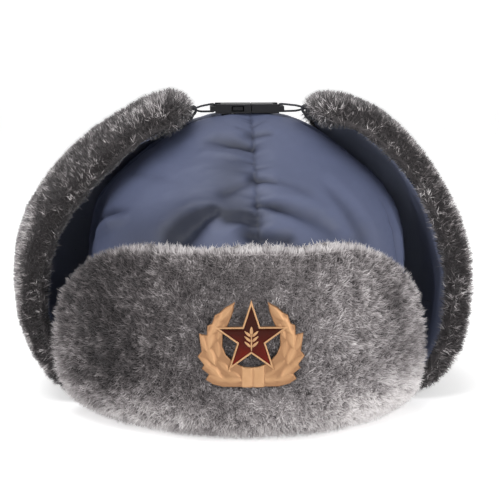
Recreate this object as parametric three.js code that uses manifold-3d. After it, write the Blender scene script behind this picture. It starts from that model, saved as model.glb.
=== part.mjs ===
// A winter hat with a padded cloth crown and four fur flaps: the front one stands up against
// the crown and carries a metal badge, the two ear flaps are turned up and buckled together
// over the top, and the neck flap is turned up behind.
//
// Millimetres, +Z up. The hat faces -Y and +X is the wearer's left. It rests on z = 0, on the
// folded lower edge of its fur. The pieces are drawn round the middle of the head opening, and
// at the end the whole hat is moved a little so that the middle of its box is at x = y = 0.

import * as THREE from "three";
import Module from "manifold-3d";
import { mergeVertices } from "three/addons/utils/BufferGeometryUtils.js";

const wasm = await Module();
wasm.setup();

// Driving dimensions.
const CROWN_WALL = 4; // outer cloth, wadding and lining together
const FACING = 2; // cloth on the inner side of each flap
const GAP = 0.3; // between pieces that are sewn or pressed together
const PELT_EDGE = 7; // how far in from a free edge the pile is rounded off
const PLAN_MIDDLE = 5; // y of the widest section of the turned-up flaps
const REAR_CLEARANCE = 3.6; // from the crown to the fur of an ear flap at its rear edge
const FRONT_SEAM = 2.3; // x of the crown's front seam
const BADGE = { x: -2.5, z: 48.2, plate: 1.1, rim: 0.75, starRadius: 17, starRise: 2.6 };
const PRONG = { width: 3, thick: 1, length: 8, apart: 16 };
const BUCKLE = { width: 16, thick: 4.6, bottom: 142.3, start: -18.2, joint: 2.6, end: 19.4 };
const CORD_RADIUS = 0.6;
const TAPE = { width: 8, thick: 1 };

const CLOTH = new THREE.MeshStandardMaterial({ color: "#5b6079", roughness: 0.55 });
const FUR = new THREE.MeshStandardMaterial({ color: "#6f6b6a", roughness: 1 });
const BLACK = new THREE.MeshStandardMaterial({ color: "#17171a", roughness: 0.4 });
const TEXTILE_BLACK = new THREE.MeshStandardMaterial({ color: "#1d1d20", roughness: 0.9 });
const GILT = new THREE.MeshStandardMaterial({ color: "#d3a05f", roughness: 0.35, metalness: 0.9 });
const ENAMEL = new THREE.MeshStandardMaterial({ color: "#4d0d0b", roughness: 0.25 });

// A table whose rows are objects with the named columns.
function table(names, rows) {
  return rows.map((row) => Object.fromEntries(names.map((name, i) => [name, row[i]])));
}

// Outer sections of the crown from its lower edge to its top. front and back are distances
// from y = 0, and the last row is the pole.
const CROWN = table(["z", "halfWidth", "front", "back"], [
  [5, 81, 103.5, 105],
  [26, 81.5, 105, 106],
  [46, 81.5, 105, 106],
  [64, 81.5, 102.5, 105],
  [80, 80.5, 97.5, 102],
  [94, 76.5, 89.5, 96],
  [105, 69.5, 79.5, 88],
  [115, 59.5, 67, 77],
  [124, 48.5, 53.5, 64],
  [131.5, 38, 41, 51],
  [137, 29, 30, 39],
  [140.6, 19.5, 19, 27],
  [141.8, 10, 8, 15],
  [141.9, 0, -4, 4],
]);

// Folds and dents in the crown, each along a line seen from the front or the back.
// A positive depth is a valley, and width is how far from the line it fades.
const CROWN_FOLDS = table(["facing", "x0", "z0", "x1", "z1", "depth", "width"], [
  [-1, -40, 86, -20, 97, 3.2, 6],
  [-1, -26, 84, -12, 97, -1.2, 5],
  [-1, -76, 86, -46, 92, 1.6, 5],
  [-1, 3, 98, 34, 84, 1.8, 5],
  [-1, 38, 97, 52, 83, 1.5, 5],
  [-1, -18, 122, -6, 120, 1.8, 5],
  [1, -44, 96, -18, 88, 2.2, 6],
  [1, 14, 92, 46, 99, 2.0, 6],
]);
const SEAM = { depth: 2.2, width: 5 };

// The face of the front flap that the cloth lies on, from the fold under the crown's edge up.
// half is the half width of its oval on the wearer's right and left, end the angle from
// straight ahead at which it stops, and pile the depth of the fur.
const FRONT_FLAP = table(["z", "reach", "halfRight", "halfLeft", "end", "pile"], [
  [4.7, 100, 78, 78, 67.3, 4.7],
  [4.9, 105.5, 84, 83.5, 67, 4.9],
  [8.8, 109, 89.5, 85, 66.4, 8.2],
  [17.5, 111.5, 94.5, 86, 65.5, 11.3],
  [32, 112.5, 99, 86, 64, 13],
  [48, 112, 98.5, 85.5, 62.5, 13],
  [63, 110, 96, 84.5, 61, 13],
  [77, 107, 93, 83, 60, 12.5],
  [89, 103.5, 89, 81, 59, 12],
]);

// The same for each ear flap, from the fold to the tip over the crown. x and z are its section
// where it is widest, pullX and pullZ bring its front edge in and down from there, and front
// and rear are the places of its two edges.
const EAR_COLUMNS = ["x", "z", "pullX", "pullZ", "front", "rear", "pile"];
const RIGHT_EAR = table(EAR_COLUMNS, [
  [78, 4.7, 5.8, 0, -38.2, 62, 4.7],
  [83.5, 4.9, 6.2, 0, -38.6, 62, 4.9],
  [88.5, 8.8, 6, 0, -40, 62, 8],
  [94, 16, 5, 0, -41, 62, 11],
  [100.5, 30, 4, 0, -42, 62, 13],
  [105.5, 45.5, 5, 0, -42, 62, 13.5],
  [107, 61, 8, 0, -42, 62, 13.5],
  [105.5, 76.5, 9.3, 1.5, -42, 62, 13.5],
  [101, 91.3, 9.8, 4.2, -42, 60, 12.8],
  [94, 105, 10.5, 7.4, -42, 56, 11.3],
  [84, 117.5, 9.1, 9.2, -42, 51, 10.2],
  [72, 128, 7, 9.7, -41, 46, 9.6],
  [60, 135.5, 4.1, 8.4, -40, 41, 9.8],
  [47.5, 139.8, 1.6, 5.2, -39, 37, 11.3],
  [34, 140.6, 0.5, 2, -38, 34, 13.2],
  [26, 144.5, 0, 0.6, -37, 33, 12.5],
]);
const LEFT_EAR = table(EAR_COLUMNS, [
  [78, 4.7, 5.8, 0, -38.2, 62, 4.7],
  [84, 4.9, 6.2, 0, -38.6, 62, 4.9],
  [88.5, 8.8, 5.2, 0, -40, 62, 8],
  [94, 16.2, 4, 0, -41, 62, 11],
  [99.8, 30.5, 2.5, 0, -42, 62, 12.5],
  [101.7, 46, 2, 0, -42, 62, 12.5],
  [101.8, 61, 2, 0, -42, 62, 12.5],
  [99.5, 75.5, 2, 0.5, -42, 62, 12.5],
  [95, 89.5, 2, 1, -42, 60, 12.5],
  [88.5, 103, 2, 1.5, -42, 56, 12.5],
  [80.5, 116, 1.5, 2, -42, 51, 12.5],
  [70.5, 127.5, 1, 2.5, -41, 46, 12.5],
  [59.5, 136.2, 0.5, 2.5, -40, 41, 12.5],
  [48, 140.8, 0, 2, -39, 37, 12],
  [37, 141.8, 0, 1, -38, 34, 10.5],
  [29.8, 145.2, 0, 0.5, -37, 33, 9],
]);

// The neck flap shares the ear flaps' sections at the seams between them. This is its own
// section straight behind, for the rows that it reaches.
const NECK_FLAP = table(["z", "reach"], [
  [4.7, 101.5],
  [4.9, 107],
  [9, 111],
  [18.5, 113],
  [34, 114.5],
  [50, 115],
  [66, 114],
  [82, 111.5],
  [97.5, 108],
  [112, 104],
]);
const NECK_TOP = { middle: 7.3, seam: 8 }; // rows that its upper edge reaches

// Places along the tables, in rows, where a flap's mesh has a line. They are close together
// at the fold and at the free edge.
const FRONT_ROWS = [0, 0.6, 1, 1.5, 2, 2.5, 3, 4, 5, 6, 7, 7.6, 8];
const EAR_ROWS = [0, 0.6, 1, 1.5, 2, 2.5, 3, 4, 5, 6, 7, 8, 9, 10, 11, 12, 13, 14, 14.5, 15];
const NECK_ROWS = [0, 0.6, 1, 1.5, 2, 2.5, 3, 4, 5, 6, 6.7, 7];
const FIXED_ROWS = 3; // the rows of the fold, which a lower free edge doesn't draw down

// A column's value at a place counted in rows, on a smooth curve through all of them.
function value(rows, name, place) {
  const last = rows.length - 1;
  const i = Math.min(Math.floor(THREE.MathUtils.clamp(place, 0, last)), last - 1);
  const f = THREE.MathUtils.clamp(place, 0, last) - i;
  const [a, b] = [rows[i][name], rows[i + 1][name]];
  const before = i > 0 ? rows[i - 1][name] : 2 * a - b;
  const after = i + 2 <= last ? rows[i + 2][name] : 2 * b - a;
  const linear = b - before;
  const square = 2 * before - 5 * a + 4 * b - after;
  const cube = 3 * (a - b) + after - before;
  return a + 0.5 * f * (linear + f * (square + f * cube));
}

function closedGeometry(points, triangles) {
  const geometry = new THREE.BufferGeometry();
  const numbers = points.flatMap((p) => p.toArray());
  geometry.setAttribute("position", new THREE.Float32BufferAttribute(numbers, 3));
  geometry.setIndex(triangles);
  return geometry;
}

// The quad a, b, c, d as two triangles.
function quad(triangles, a, b, c, d) {
  triangles.push(a, b, c, a, c, d);
}

// A closed slab between two grids of points, each a list of rows of equal length.
function slab(outer, inner) {
  const [rows, columns] = [outer.length, outer[0].length];
  const points = [...outer.flat(), ...inner.flat()];
  const out = (r, c) => r * columns + c;
  const inn = (r, c) => rows * columns + r * columns + c;
  const triangles = [];
  for (let r = 0; r < rows - 1; r++)
    for (let c = 0; c < columns - 1; c++) {
      quad(triangles, out(r, c), out(r, c + 1), out(r + 1, c + 1), out(r + 1, c));
      quad(triangles, inn(r, c), inn(r + 1, c), inn(r + 1, c + 1), inn(r, c + 1));
    }
  const last = columns - 1;
  for (let r = 0; r < rows - 1; r++) {
    quad(triangles, out(r, 0), out(r + 1, 0), inn(r + 1, 0), inn(r, 0));
    quad(triangles, out(r + 1, last), out(r, last), inn(r, last), inn(r + 1, last));
  }
  for (let c = 0; c < columns - 1; c++) {
    quad(triangles, out(0, c + 1), out(0, c), inn(0, c), inn(0, c + 1));
    quad(triangles, out(rows - 1, c), out(rows - 1, c + 1), inn(rows - 1, c + 1), inn(rows - 1, c));
  }
  return closedGeometry(points, triangles);
}

// The unit normal of a surface at (u, v), on the side that du x dv points to.
function normalOf(surface, u, v) {
  const step = 0.004;
  const du = surface(u + step, v).sub(surface(u - step, v));
  const dv = surface(u, v + step).sub(surface(u, v - step));
  return du.cross(dv).normalize();
}

// How much of its full depth the pile has at a distance from a free edge.
function rounded(distance) {
  const inside = THREE.MathUtils.clamp(distance / PELT_EDGE, 0, 1);
  return Math.max(0.16, Math.sqrt(1 - (1 - inside) ** 2));
}

// One flap as its fur and its facing. surface(u, place) is the face between them, with u across
// the flap and place in rows; edge(u, place) is the distance to the nearest free edge; inset
// says how many mesh lines the facing stops short of each side.
function flap(surface, across, rows, top, pile, edge, inset) {
  const furOut = [], furIn = [], clothOut = [], clothIn = [];
  rows.forEach((row, r) => {
    const lines = [[], [], [], []];
    across.forEach((u, c) => {
      const full = rows[rows.length - 1];
      const share = (top(u) - FIXED_ROWS) / (full - FIXED_ROWS);
      const place = row <= FIXED_ROWS ? row : FIXED_ROWS + (row - FIXED_ROWS) * share;
      const face = surface(u, place);
      const normal = normalOf(surface, u, place);
      const depth = pile(u, place) * rounded(edge(u, place));
      const skin = face.clone().addScaledVector(normal, depth);
      skin.z = Math.max(skin.z, 0);
      lines[0].push(skin);
      lines[1].push(face);
      const covered = c >= inset.start && c < across.length - inset.end;
      if (covered && r >= inset.low && r < rows.length - inset.top) {
        lines[2].push(face.clone().addScaledVector(normal, -GAP));
        lines[3].push(face.clone().addScaledVector(normal, -GAP - FACING));
      }
    });
    furOut.push(lines[0]);
    furIn.push(lines[1]);
    if (lines[2].length) {
      clothOut.push(lines[2]);
      clothIn.push(lines[3]);
    }
  });
  return { fur: slab(furOut, furIn), cloth: slab(clothOut, clothIn) };
}

// Shares from 0 to 1 that crowd a little towards both ends.
function crowded(count) {
  return Array.from({ length: count + 1 }, (_, i) => {
    const even = i / count;
    return 0.55 * even + 0.45 * (0.5 - 0.5 * Math.cos(Math.PI * even));
  });
}

// Front flap, u from -1 at the wearer's right to 1 at the left.
function frontSurface(u, place) {
  const angle = THREE.MathUtils.degToRad(u * value(FRONT_FLAP, "end", place));
  const share = THREE.MathUtils.smoothstep(u, -0.6, 0.6);
  const half = THREE.MathUtils.lerp(
    value(FRONT_FLAP, "halfRight", place), value(FRONT_FLAP, "halfLeft", place), share);
  const reach = value(FRONT_FLAP, "reach", place);
  const z = value(FRONT_FLAP, "z", place);
  return new THREE.Vector3(half * Math.sin(angle), -reach * Math.cos(angle), z);
}

const FRONT_EDGE = table(["top"], [
  [5.6], [7.1], [7.7], [7.95], [8], [8.05], [8.2], [8.2], [8.05], [8.2], [8], [7.5], [6.8], [5.3],
]);

function frontTop(u) {
  return value(FRONT_EDGE, "top", ((u + 1) / 2) * (FRONT_EDGE.length - 1));
}

const ROW_HEIGHT = 14; // arc length between the tables' rows above the fold
const FRONT_HALF_ARC = 112;

const front = flap(
  frontSurface,
  crowded(24).map((share) => 2 * share - 1),
  FRONT_ROWS,
  frontTop,
  (u, place) => value(FRONT_FLAP, "pile", place),
  (u, place) => Math.min((1 - Math.abs(u)) * FRONT_HALF_ARC, (frontTop(u) - place) * ROW_HEIGHT),
  { start: 1, end: 1, low: 4, top: 1 },
);

// The section of the turned-up flaps at a row: how far its oval reaches behind, and its height
// straight behind.
function behind(place) {
  return { reach: value(NECK_FLAP, "reach", place), z: value(NECK_FLAP, "z", place) };
}

// How much of the neck flap's height the section takes on, which ends above its seams.
function shared(place) {
  return 1 - THREE.MathUtils.smoothstep(place, NECK_TOP.seam, NECK_TOP.seam + 3);
}

// How far a point stands off the crown along a direction in x and z, both on the side of +x.
function standOff(x, y, z, towards) {
  const beyond = (distance) => {
    const height = z - distance * towards.z;
    const top = CROWN[CROWN.length - 1].z;
    if (height >= top) return true;
    let place = 0;
    while (place < CROWN.length - 2 && CROWN[place + 1].z <= height) place++;
    place += Math.max(0, (height - CROWN[place].z) / (CROWN[place + 1].z - CROWN[place].z));
    const [front, back] = [value(CROWN, "front", place), value(CROWN, "back", place)];
    const across = (x - distance * towards.x) / value(CROWN, "halfWidth", place);
    const along = (y - (back - front) / 2) / ((back + front) / 2);
    return across ** 2 + along ** 2 > 1;
  };
  let [near, far] = [0, 60];
  for (let i = 0; i < 24; i++) {
    const middle = (near + far) / 2;
    if (beyond(middle)) near = middle;
    else far = middle;
  }
  return near;
}

// The direction away from the crown of an ear flap's widest section at a row.
function outwards(ear, place) {
  const dx = value(ear, "x", place + 0.5) - value(ear, "x", place - 0.5);
  const dz = value(ear, "z", place + 0.5) - value(ear, "z", place - 0.5);
  return { x: dz / Math.hypot(dx, dz), z: -dx / Math.hypot(dx, dz) };
}

// A point of the turned-up flaps at a row and a distance y, on one side of the hat.
function turnedUp(ear, side, y, place) {
  const back = behind(place);
  let x = value(ear, "x", place);
  let z = value(ear, "z", place);
  if (y < PLAN_MIDDLE) {
    const pull = ((PLAN_MIDDLE - y) / (PLAN_MIDDLE - value(ear, "front", place))) ** 2;
    x -= value(ear, "pullX", place) * pull;
    z -= value(ear, "pullZ", place) * pull;
  } else {
    const share = (y - PLAN_MIDDLE) / (back.reach - PLAN_MIDDLE);
    x *= Math.sqrt(Math.max(0, 1 - share ** 2));
    z += (back.z - z) * THREE.MathUtils.smoothstep(share, 0, 1) * shared(place);
    const towards = outwards(ear, place);
    const rear = value(ear, "rear", place);
    const aboveFold = THREE.MathUtils.smoothstep(place, 1.5, 5);
    const closing = aboveFold * THREE.MathUtils.smoothstep(y, PLAN_MIDDLE, rear);
    const pull = closing * Math.max(0, standOff(x, y, z, towards) - REAR_CLEARANCE);
    x -= pull * towards.x;
    z -= pull * towards.z;
  }
  return new THREE.Vector3(side * x, y, z);
}

const TIP_CORNER = 1.1; // rows that the tip's corners are lower than its middle

function earTop(u) {
  return 15 - TIP_CORNER * Math.abs(2 * u - 1) ** 4;
}

// An ear flap, u from 0 at its front edge to 1 at its rear edge.
function earFlap(ear, side) {
  const surface = (u, place) => {
    const y = THREE.MathUtils.lerp(value(ear, "front", place), value(ear, "rear", place), u);
    return turnedUp(ear, side, y, place);
  };
  const mirrored = (u, place) => surface(side > 0 ? u : 1 - u, place);
  const edge = (u, place) => {
    const across = side > 0 ? u : 1 - u;
    const width = value(ear, "rear", place) - value(ear, "front", place);
    const seam = THREE.MathUtils.clamp((NECK_TOP.seam - place) * 2 * ROW_HEIGHT, 0, PELT_EDGE);
    return Math.min(across * width, (1 - across) * width + seam, (earTop(across) - place) * ROW_HEIGHT);
  };
  return flap(
    mirrored,
    crowded(11),
    EAR_ROWS,
    (u) => earTop(u),
    (u, place) => value(ear, "pile", place),
    edge,
    { start: 1, end: 1, low: 4, top: 2 },
  );
}

const rightEar = earFlap(RIGHT_EAR, -1);
const leftEar = earFlap(LEFT_EAR, 1);

// The neck flap, u from 0 at the seam on the wearer's left round the back to 1.
const SEAM_CLEARANCE = 1.5;

function neckSurface(u, place) {
  const back = behind(place);
  const start = value(LEFT_EAR, "rear", place) + SEAM_CLEARANCE;
  const first = Math.asin((start - PLAN_MIDDLE) / (back.reach - PLAN_MIDDLE));
  const angle = THREE.MathUtils.lerp(first, Math.PI - first, u);
  const y = PLAN_MIDDLE + (back.reach - PLAN_MIDDLE) * Math.sin(angle);
  const side = Math.cos(angle) >= 0 ? 1 : -1;
  const ear = side > 0 ? LEFT_EAR : RIGHT_EAR;
  const seam = turnedUp(ear, side, start, place);
  const round = (Math.abs(angle - Math.PI / 2)) / (Math.PI / 2 - first);
  const x = (seam.x * Math.abs(Math.cos(angle))) / Math.cos(first);
  const z = back.z + (seam.z - back.z) * round ** 2;
  return new THREE.Vector3(x, y, z);
}

function neckTop(u) {
  return NECK_TOP.middle + (NECK_TOP.seam - NECK_TOP.middle) * Math.abs(2 * u - 1) ** 4;
}

const neck = flap(
  neckSurface,
  crowded(18),
  NECK_ROWS,
  neckTop,
  (u, place) => THREE.MathUtils.lerp(value(LEFT_EAR, "pile", place), value(RIGHT_EAR, "pile", place), u),
  (u, place) => (neckTop(u) - place) * ROW_HEIGHT,
  { start: 1, end: 1, low: 4, top: 1 },
);

// How far the crown's cloth is drawn in at a point by its seams and folds.
function crownDent(point) {
  let dent = 0;
  const spread = (distance, width) => Math.exp(-((distance / width) ** 2));
  if (point.z > 40) {
    const seamX = point.y < 0 ? FRONT_SEAM : 0;
    dent += SEAM.depth * Math.max(spread(point.x - seamX, SEAM.width), spread(point.y - 2, SEAM.width) * 0.7);
  }
  for (const fold of CROWN_FOLDS) {
    if (point.y * fold.facing <= 0) continue;
    const [lineX, lineZ] = [fold.x1 - fold.x0, fold.z1 - fold.z0];
    const along = ((point.x - fold.x0) * lineX + (point.z - fold.z0) * lineZ) / (lineX ** 2 + lineZ ** 2);
    const share = THREE.MathUtils.clamp(along, 0, 1);
    const distance = Math.hypot(point.x - fold.x0 - share * lineX, point.z - fold.z0 - share * lineZ);
    dent += fold.depth * spread(distance, fold.width);
  }
  return dent;
}

function crownSurface(turn, place) {
  const [frontY, backY] = [value(CROWN, "front", place), value(CROWN, "back", place)];
  const angle = 2 * Math.PI * turn;
  return new THREE.Vector3(
    value(CROWN, "halfWidth", place) * Math.cos(angle),
    (backY - frontY) / 2 + ((backY + frontY) / 2) * Math.sin(angle),
    value(CROWN, "z", place),
  );
}

// The crown as a closed dome, open below, with depth(place) of cloth taken off inside.
function crown() {
  const turns = 44;
  const top = CROWN.length - 1;
  const rings = [0, 1, 2, 2.5, 3, 3.5, 4, 4.5, 5, 5.5, 6, 6.5, 7, 7.5, 8, 9, 10, 11, 12];
  const ring = (place, inwards) =>
    Array.from({ length: turns }, (_, i) => {
      const turn = i / turns;
      const point = crownSurface(turn, place);
      const normal = normalOf(crownSurface, turn, place);
      point.addScaledVector(normal, -inwards - crownDent(point));
      if (place === 0) point.z = CROWN[0].z;
      return point;
    });
  const pole = (inwards) => {
    const point = crownSurface(0, top);
    point.z -= inwards + SEAM.depth;
    return point;
  };
  const outer = rings.map((place) => ring(place, 0));
  const inner = [0, 2, 4, 5, 6, 7, 8, 9, 10, 11, 12].map((place) => ring(place, CROWN_WALL));
  const points = [...outer.flat(), pole(0), ...inner.flat(), pole(CROWN_WALL)];
  const outerPole = outer.length * turns;
  const start = outerPole + 1;
  const innerPole = points.length - 1;
  const triangles = [];
  const next = (i) => (i + 1) % turns;
  for (let i = 0; i < turns; i++) {
    for (let r = 0; r < outer.length - 1; r++)
      quad(triangles, r * turns + i, r * turns + next(i), (r + 1) * turns + next(i), (r + 1) * turns + i);
    for (let r = 0; r < inner.length - 1; r++) {
      const [low, high] = [start + r * turns, start + (r + 1) * turns];
      quad(triangles, low + next(i), low + i, high + i, high + next(i));
    }
    const lastOuter = (outer.length - 1) * turns;
    const lastInner = start + (inner.length - 1) * turns;
    triangles.push(lastOuter + i, lastOuter + next(i), outerPole);
    triangles.push(lastInner + next(i), lastInner + i, innerPole);
    quad(triangles, next(i), i, start + i, start + next(i));
  }
  return closedGeometry(points, triangles);
}

// Solids for joining and cutting, and back.
function solid(geometry) {
  const bare = geometry.clone();
  bare.deleteAttribute("normal");
  bare.deleteAttribute("uv");
  const merged = mergeVertices(bare, 1e-4);
  return new wasm.Manifold(new wasm.Mesh({
    numProp: 3,
    vertProperties: merged.attributes.position.array,
    triVerts: new Uint32Array(merged.index.array),
  }));
}

function geometryOf(manifold) {
  const mesh = manifold.getMesh();
  const geometry = new THREE.BufferGeometry();
  geometry.setAttribute("position", new THREE.Float32BufferAttribute(mesh.vertProperties, 3));
  geometry.setIndex(Array.from(mesh.triVerts));
  return geometry;
}

function box(low, high) {
  const size = high.map((h, i) => h - low[i]);
  const geometry = new THREE.BoxGeometry(...size);
  return geometry.translate(...low.map((l, i) => l + size[i] / 2));
}

// A plate whose outline is drawn in x and z, from y = near (towards the viewer) to y = far.
function plate(outline, near, far) {
  const geometry = new THREE.ExtrudeGeometry(outline, { depth: far - near, bevelEnabled: false });
  geometry.rotateX(Math.PI / 2);
  return geometry.translate(0, far, 0);
}

function star(radius, rise) {
  const shape = new THREE.Shape();
  const waist = 0.382;
  for (let i = 0; i < 10; i++) {
    const reach = i % 2 ? radius * waist : radius;
    const angle = Math.PI / 2 + (i * Math.PI) / 5;
    const [x, z] = [reach * Math.cos(angle), rise + reach * Math.sin(angle)];
    if (i) shape.lineTo(x, z);
    else shape.moveTo(x, z);
  }
  shape.closePath();
  return shape;
}

// The right half of the wreath's outline from its lower middle round to its upper tip, then
// back down the inside of the ring. The three points that stand out are leaf tips.
const WREATH = table(["x", "z"], [
  [0, -19.8], [12.5, -19.6], [17, -18.4], [20.3, -16.2], [18.9, -13.6], [21.5, -9], [23.9, -5.6],
  [22.1, -3.4], [22.7, 0.6], [23.2, 4.8], [19.8, 4], [18.4, 8.2], [15.6, 12.6], [11.6, 16.4],
  [7.2, 18.8], [8, 14.4], [10.4, 9.2], [13.2, 3.6], [13.6, -2], [11.6, -7], [8, -10.6],
  [4.4, -12], [0, -12.2],
]);

function wreath() {
  const shape = new THREE.Shape();
  const left = [...WREATH].reverse().slice(1, -1).map((p) => ({ x: -p.x, z: p.z }));
  [...WREATH, ...left].forEach((p, i) => (i ? shape.lineTo(p.x, p.z) : shape.moveTo(p.x, p.z)));
  shape.closePath();
  return shape;
}

// The badge stands on a flat seat pressed into the fur, and two prongs on its back go in.
const SEAT = { halfWidth: 29, halfHeight: 26, depth: 3.4 };
const badgeMiddle = frontSurface(0, 4.8).addScaledVector(normalOf(frontSurface, 0, 4.8), 13);
const seatY = badgeMiddle.y + SEAT.depth;

function badge() {
  const back = seatY - GAP;
  const face = back - BADGE.plate;
  const starFace = face - 0.9;
  const floor = starFace + 0.6;
  const ring = solid(plate(wreath(), face, back));
  const body = solid(plate(star(BADGE.starRadius, BADGE.starRise), starFace, back));
  const inset = BADGE.rim / Math.sin(Math.PI / 10);
  const hollow = solid(plate(star(BADGE.starRadius - inset, BADGE.starRise), starFace - 1, floor));
  let metal = ring.add(body).subtract(hollow);
  for (const side of [-1, 1]) {
    const middle = (side * PRONG.apart) / 2;
    metal = metal.add(solid(box(
      [middle - PRONG.width / 2, back - 0.5, -14],
      [middle + PRONG.width / 2, back + PRONG.length, -14 + PRONG.thick],
    )));
  }
  const fill = plate(star(BADGE.starRadius - inset - 0.3, BADGE.starRise), starFace + 0.15, floor - 0.05);
  return { metal: geometryOf(metal), enamel: fill };
}

// The fur of the front flap with the badge's seat and the prongs' slots cut in it.
function furWithSeat(fur) {
  const seat = new THREE.CylinderGeometry(1, 1, 30, 40);
  seat.scale(SEAT.halfWidth, 1, SEAT.halfHeight).translate(BADGE.x, seatY - 15, BADGE.z);
  let cut = solid(fur).subtract(solid(seat));
  for (const side of [-1, 1]) {
    const middle = BADGE.x + (side * PRONG.apart) / 2;
    const low = BADGE.z - 14;
    cut = cut.subtract(solid(box(
      [middle - PRONG.width / 2 - GAP, seatY - 1, low - GAP],
      [middle + PRONG.width / 2 + GAP, seatY + PRONG.length, low + PRONG.thick + GAP],
    )));
  }
  return geometryOf(cut);
}

const BAR_THICK = 2.6; // the end bars that the cords go round

// The side-release buckle, closed. Its socket is on the wearer's right, its plug on the left.
function buckle() {
  const half = BUCKLE.width / 2;
  const [low, high] = [BUCKLE.bottom, BUCKLE.bottom + BUCKLE.thick];
  const [skin, side] = [0.9, 1.1];
  const slot = { bar: 2, length: 3.4, side: 1.8 };
  const arm = { inner: 3.2, outer: 5.4, pad: 7, length: 11.5, padFrom: 9.5, padTo: 4 };
  const guide = { half: 1, length: 9 };
  const thinned = (high - low - BAR_THICK) / 2;
  const block = (x0, x1, y0, y1, z0, z1) => solid(box([x0, y0, z0], [x1, y1, z1]));
  const bothSides = (x0, x1, y0, y1, z0, z1) =>
    block(x0, x1, y0, y1, z0, z1).add(block(x0, x1, -y1, -y0, z0, z1));
  const eye = (from) =>
    block(from, from + slot.length, -half + slot.side, half - slot.side, low - 1, high + 1);
  const shaved = (from, to) =>
    block(from, to, -half - 1, half + 1, high - thinned, high + 1)
      .add(block(from, to, -half - 1, half + 1, low - 1, low + thinned));
  const { start, joint, end } = BUCKLE;

  const socket = block(start, joint, -half, half, low, high)
    .subtract(block(joint - 12.3, joint + 1, -half + side, half - side, low + skin, high - skin))
    .subtract(block(joint - 10, joint - 3.6, -half - 1, half + 1, low + skin, high - skin))
    .subtract(eye(start + slot.bar))
    .subtract(shaved(start - 1, start + slot.bar + 0.6));

  const [inside, outside] = [low + skin + GAP, high - skin - GAP];
  const plug = block(joint + GAP, end, -half, half, low, high)
    .subtract(eye(end - slot.bar - slot.length))
    .subtract(shaved(end - slot.bar - 0.6, end + 1))
    .add(bothSides(joint - arm.length, joint + 1, arm.inner, arm.outer, inside, outside))
    .add(bothSides(joint - arm.padFrom, joint - arm.padTo, arm.inner, arm.pad, inside, outside))
    .add(block(joint - guide.length, joint + 1, -guide.half, guide.half, inside, outside));
  return { socket: geometryOf(socket), plug: geometryOf(plug) };
}

// A tube along a closed route.
function closedTube(route, radius, sides, steps) {
  const stops = route.map((p) => new THREE.Vector3(...p));
  const curve = new THREE.CatmullRomCurve3(stops, true, "centripetal");
  const frames = curve.computeFrenetFrames(steps, true);
  const points = [];
  for (let i = 0; i < steps; i++) {
    const centre = curve.getPointAt(i / steps);
    for (let s = 0; s < sides; s++) {
      const angle = (2 * Math.PI * s) / sides;
      points.push(centre.clone()
        .addScaledVector(frames.normals[i], radius * Math.cos(angle))
        .addScaledVector(frames.binormals[i], radius * Math.sin(angle)));
    }
  }
  const triangles = [];
  for (let i = 0; i < steps; i++)
    for (let s = 0; s < sides; s++) {
      const [here, there] = [i * sides, ((i + 1) % steps) * sides];
      const turn = (s + 1) % sides;
      quad(triangles, here + s, here + turn, there + turn, there + s);
    }
  return closedGeometry(points, triangles);
}

// The cord between a buckle's end bar and the tape at a flap's tip, as one loop that goes round
// the bar and through the tape's fold. side is the side of the hat.
function tieLoop(side, barX, fold) {
  const middle = BUCKLE.bottom + BUCKLE.thick / 2;
  const clear = CORD_RADIUS + 0.35;
  const out = (distance) => barX + side * distance;
  const over = BAR_THICK / 2 + clear;
  const reach = TAPE.width / 2 + clear;
  const route = [
    [out(-1 - clear), 0, middle],
    [out(-1 - clear), -0.2, middle + BAR_THICK / 2 + 0.1],
    [out(-0.6 - clear / 2), -0.4, middle + over * 0.93],
    [out(0.4), -0.8, middle + over],
    [out(2.6), -1.8, middle + over * 0.9],
    [fold.x - side * 2.6, -reach, fold.z + 0.6],
    [fold.x - side * 0.4, -reach + 0.1, fold.z + 0.1],
    [fold.x, -TAPE.width / 4, fold.z],
    [fold.x, TAPE.width / 4, fold.z],
    [fold.x - side * 0.4, reach - 0.1, fold.z - 0.1],
    [fold.x - side * 2.6, reach, fold.z - 0.4],
    [out(2.6), 1.8, middle - over * 0.9],
    [out(0.4), 0.8, middle - over],
    [out(-0.6 - clear / 2), 0.4, middle - over * 0.93],
    [out(-1 - clear), 0.2, middle - BAR_THICK / 2 - 0.1],
  ];
  return closedTube(route, CORD_RADIUS, 6, 40);
}

// The tape under a flap's tip. It lies on the facing and is folded round the cord.
function tieTape(ear, side) {
  const bore = CORD_RADIUS + 0.3;
  const beneath = GAP + FACING + 2 * GAP;
  const line = [12.8, 13.4, 14, 14.4, 14.7, 15].map((place) => {
    const surface = (y, p) => turnedUp(ear, side, y, p);
    const normal = normalOf(surface, 0, place).multiplyScalar(side);
    return { point: surface(0, place), normal };
  });
  const rows = (depth) =>
    line.map(({ point, normal }) =>
      [-1, 1].map((end) => {
        const at = point.clone().addScaledVector(normal, -depth);
        return new THREE.Vector3(at.x, (side * end * TAPE.width) / 2, at.z);
      }));
  const strip = solid(slab(rows(beneath), rows(beneath + TAPE.thick)));
  const tip = line[line.length - 1];
  const fold = tip.point.clone().addScaledVector(tip.normal, -beneath - TAPE.thick - bore + 0.1);
  const round = (radius, length) =>
    solid(new THREE.CylinderGeometry(radius, radius, length, 20).translate(fold.x, 0, fold.z));
  const tape = strip.add(round(bore + TAPE.thick, TAPE.width)).subtract(round(bore, TAPE.width + 2));
  return { geometry: geometryOf(tape), fold };
}

function mesh(name, geometry, material) {
  const made = new THREE.Mesh(geometry, material);
  made.name = name;
  return made;
}

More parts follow.
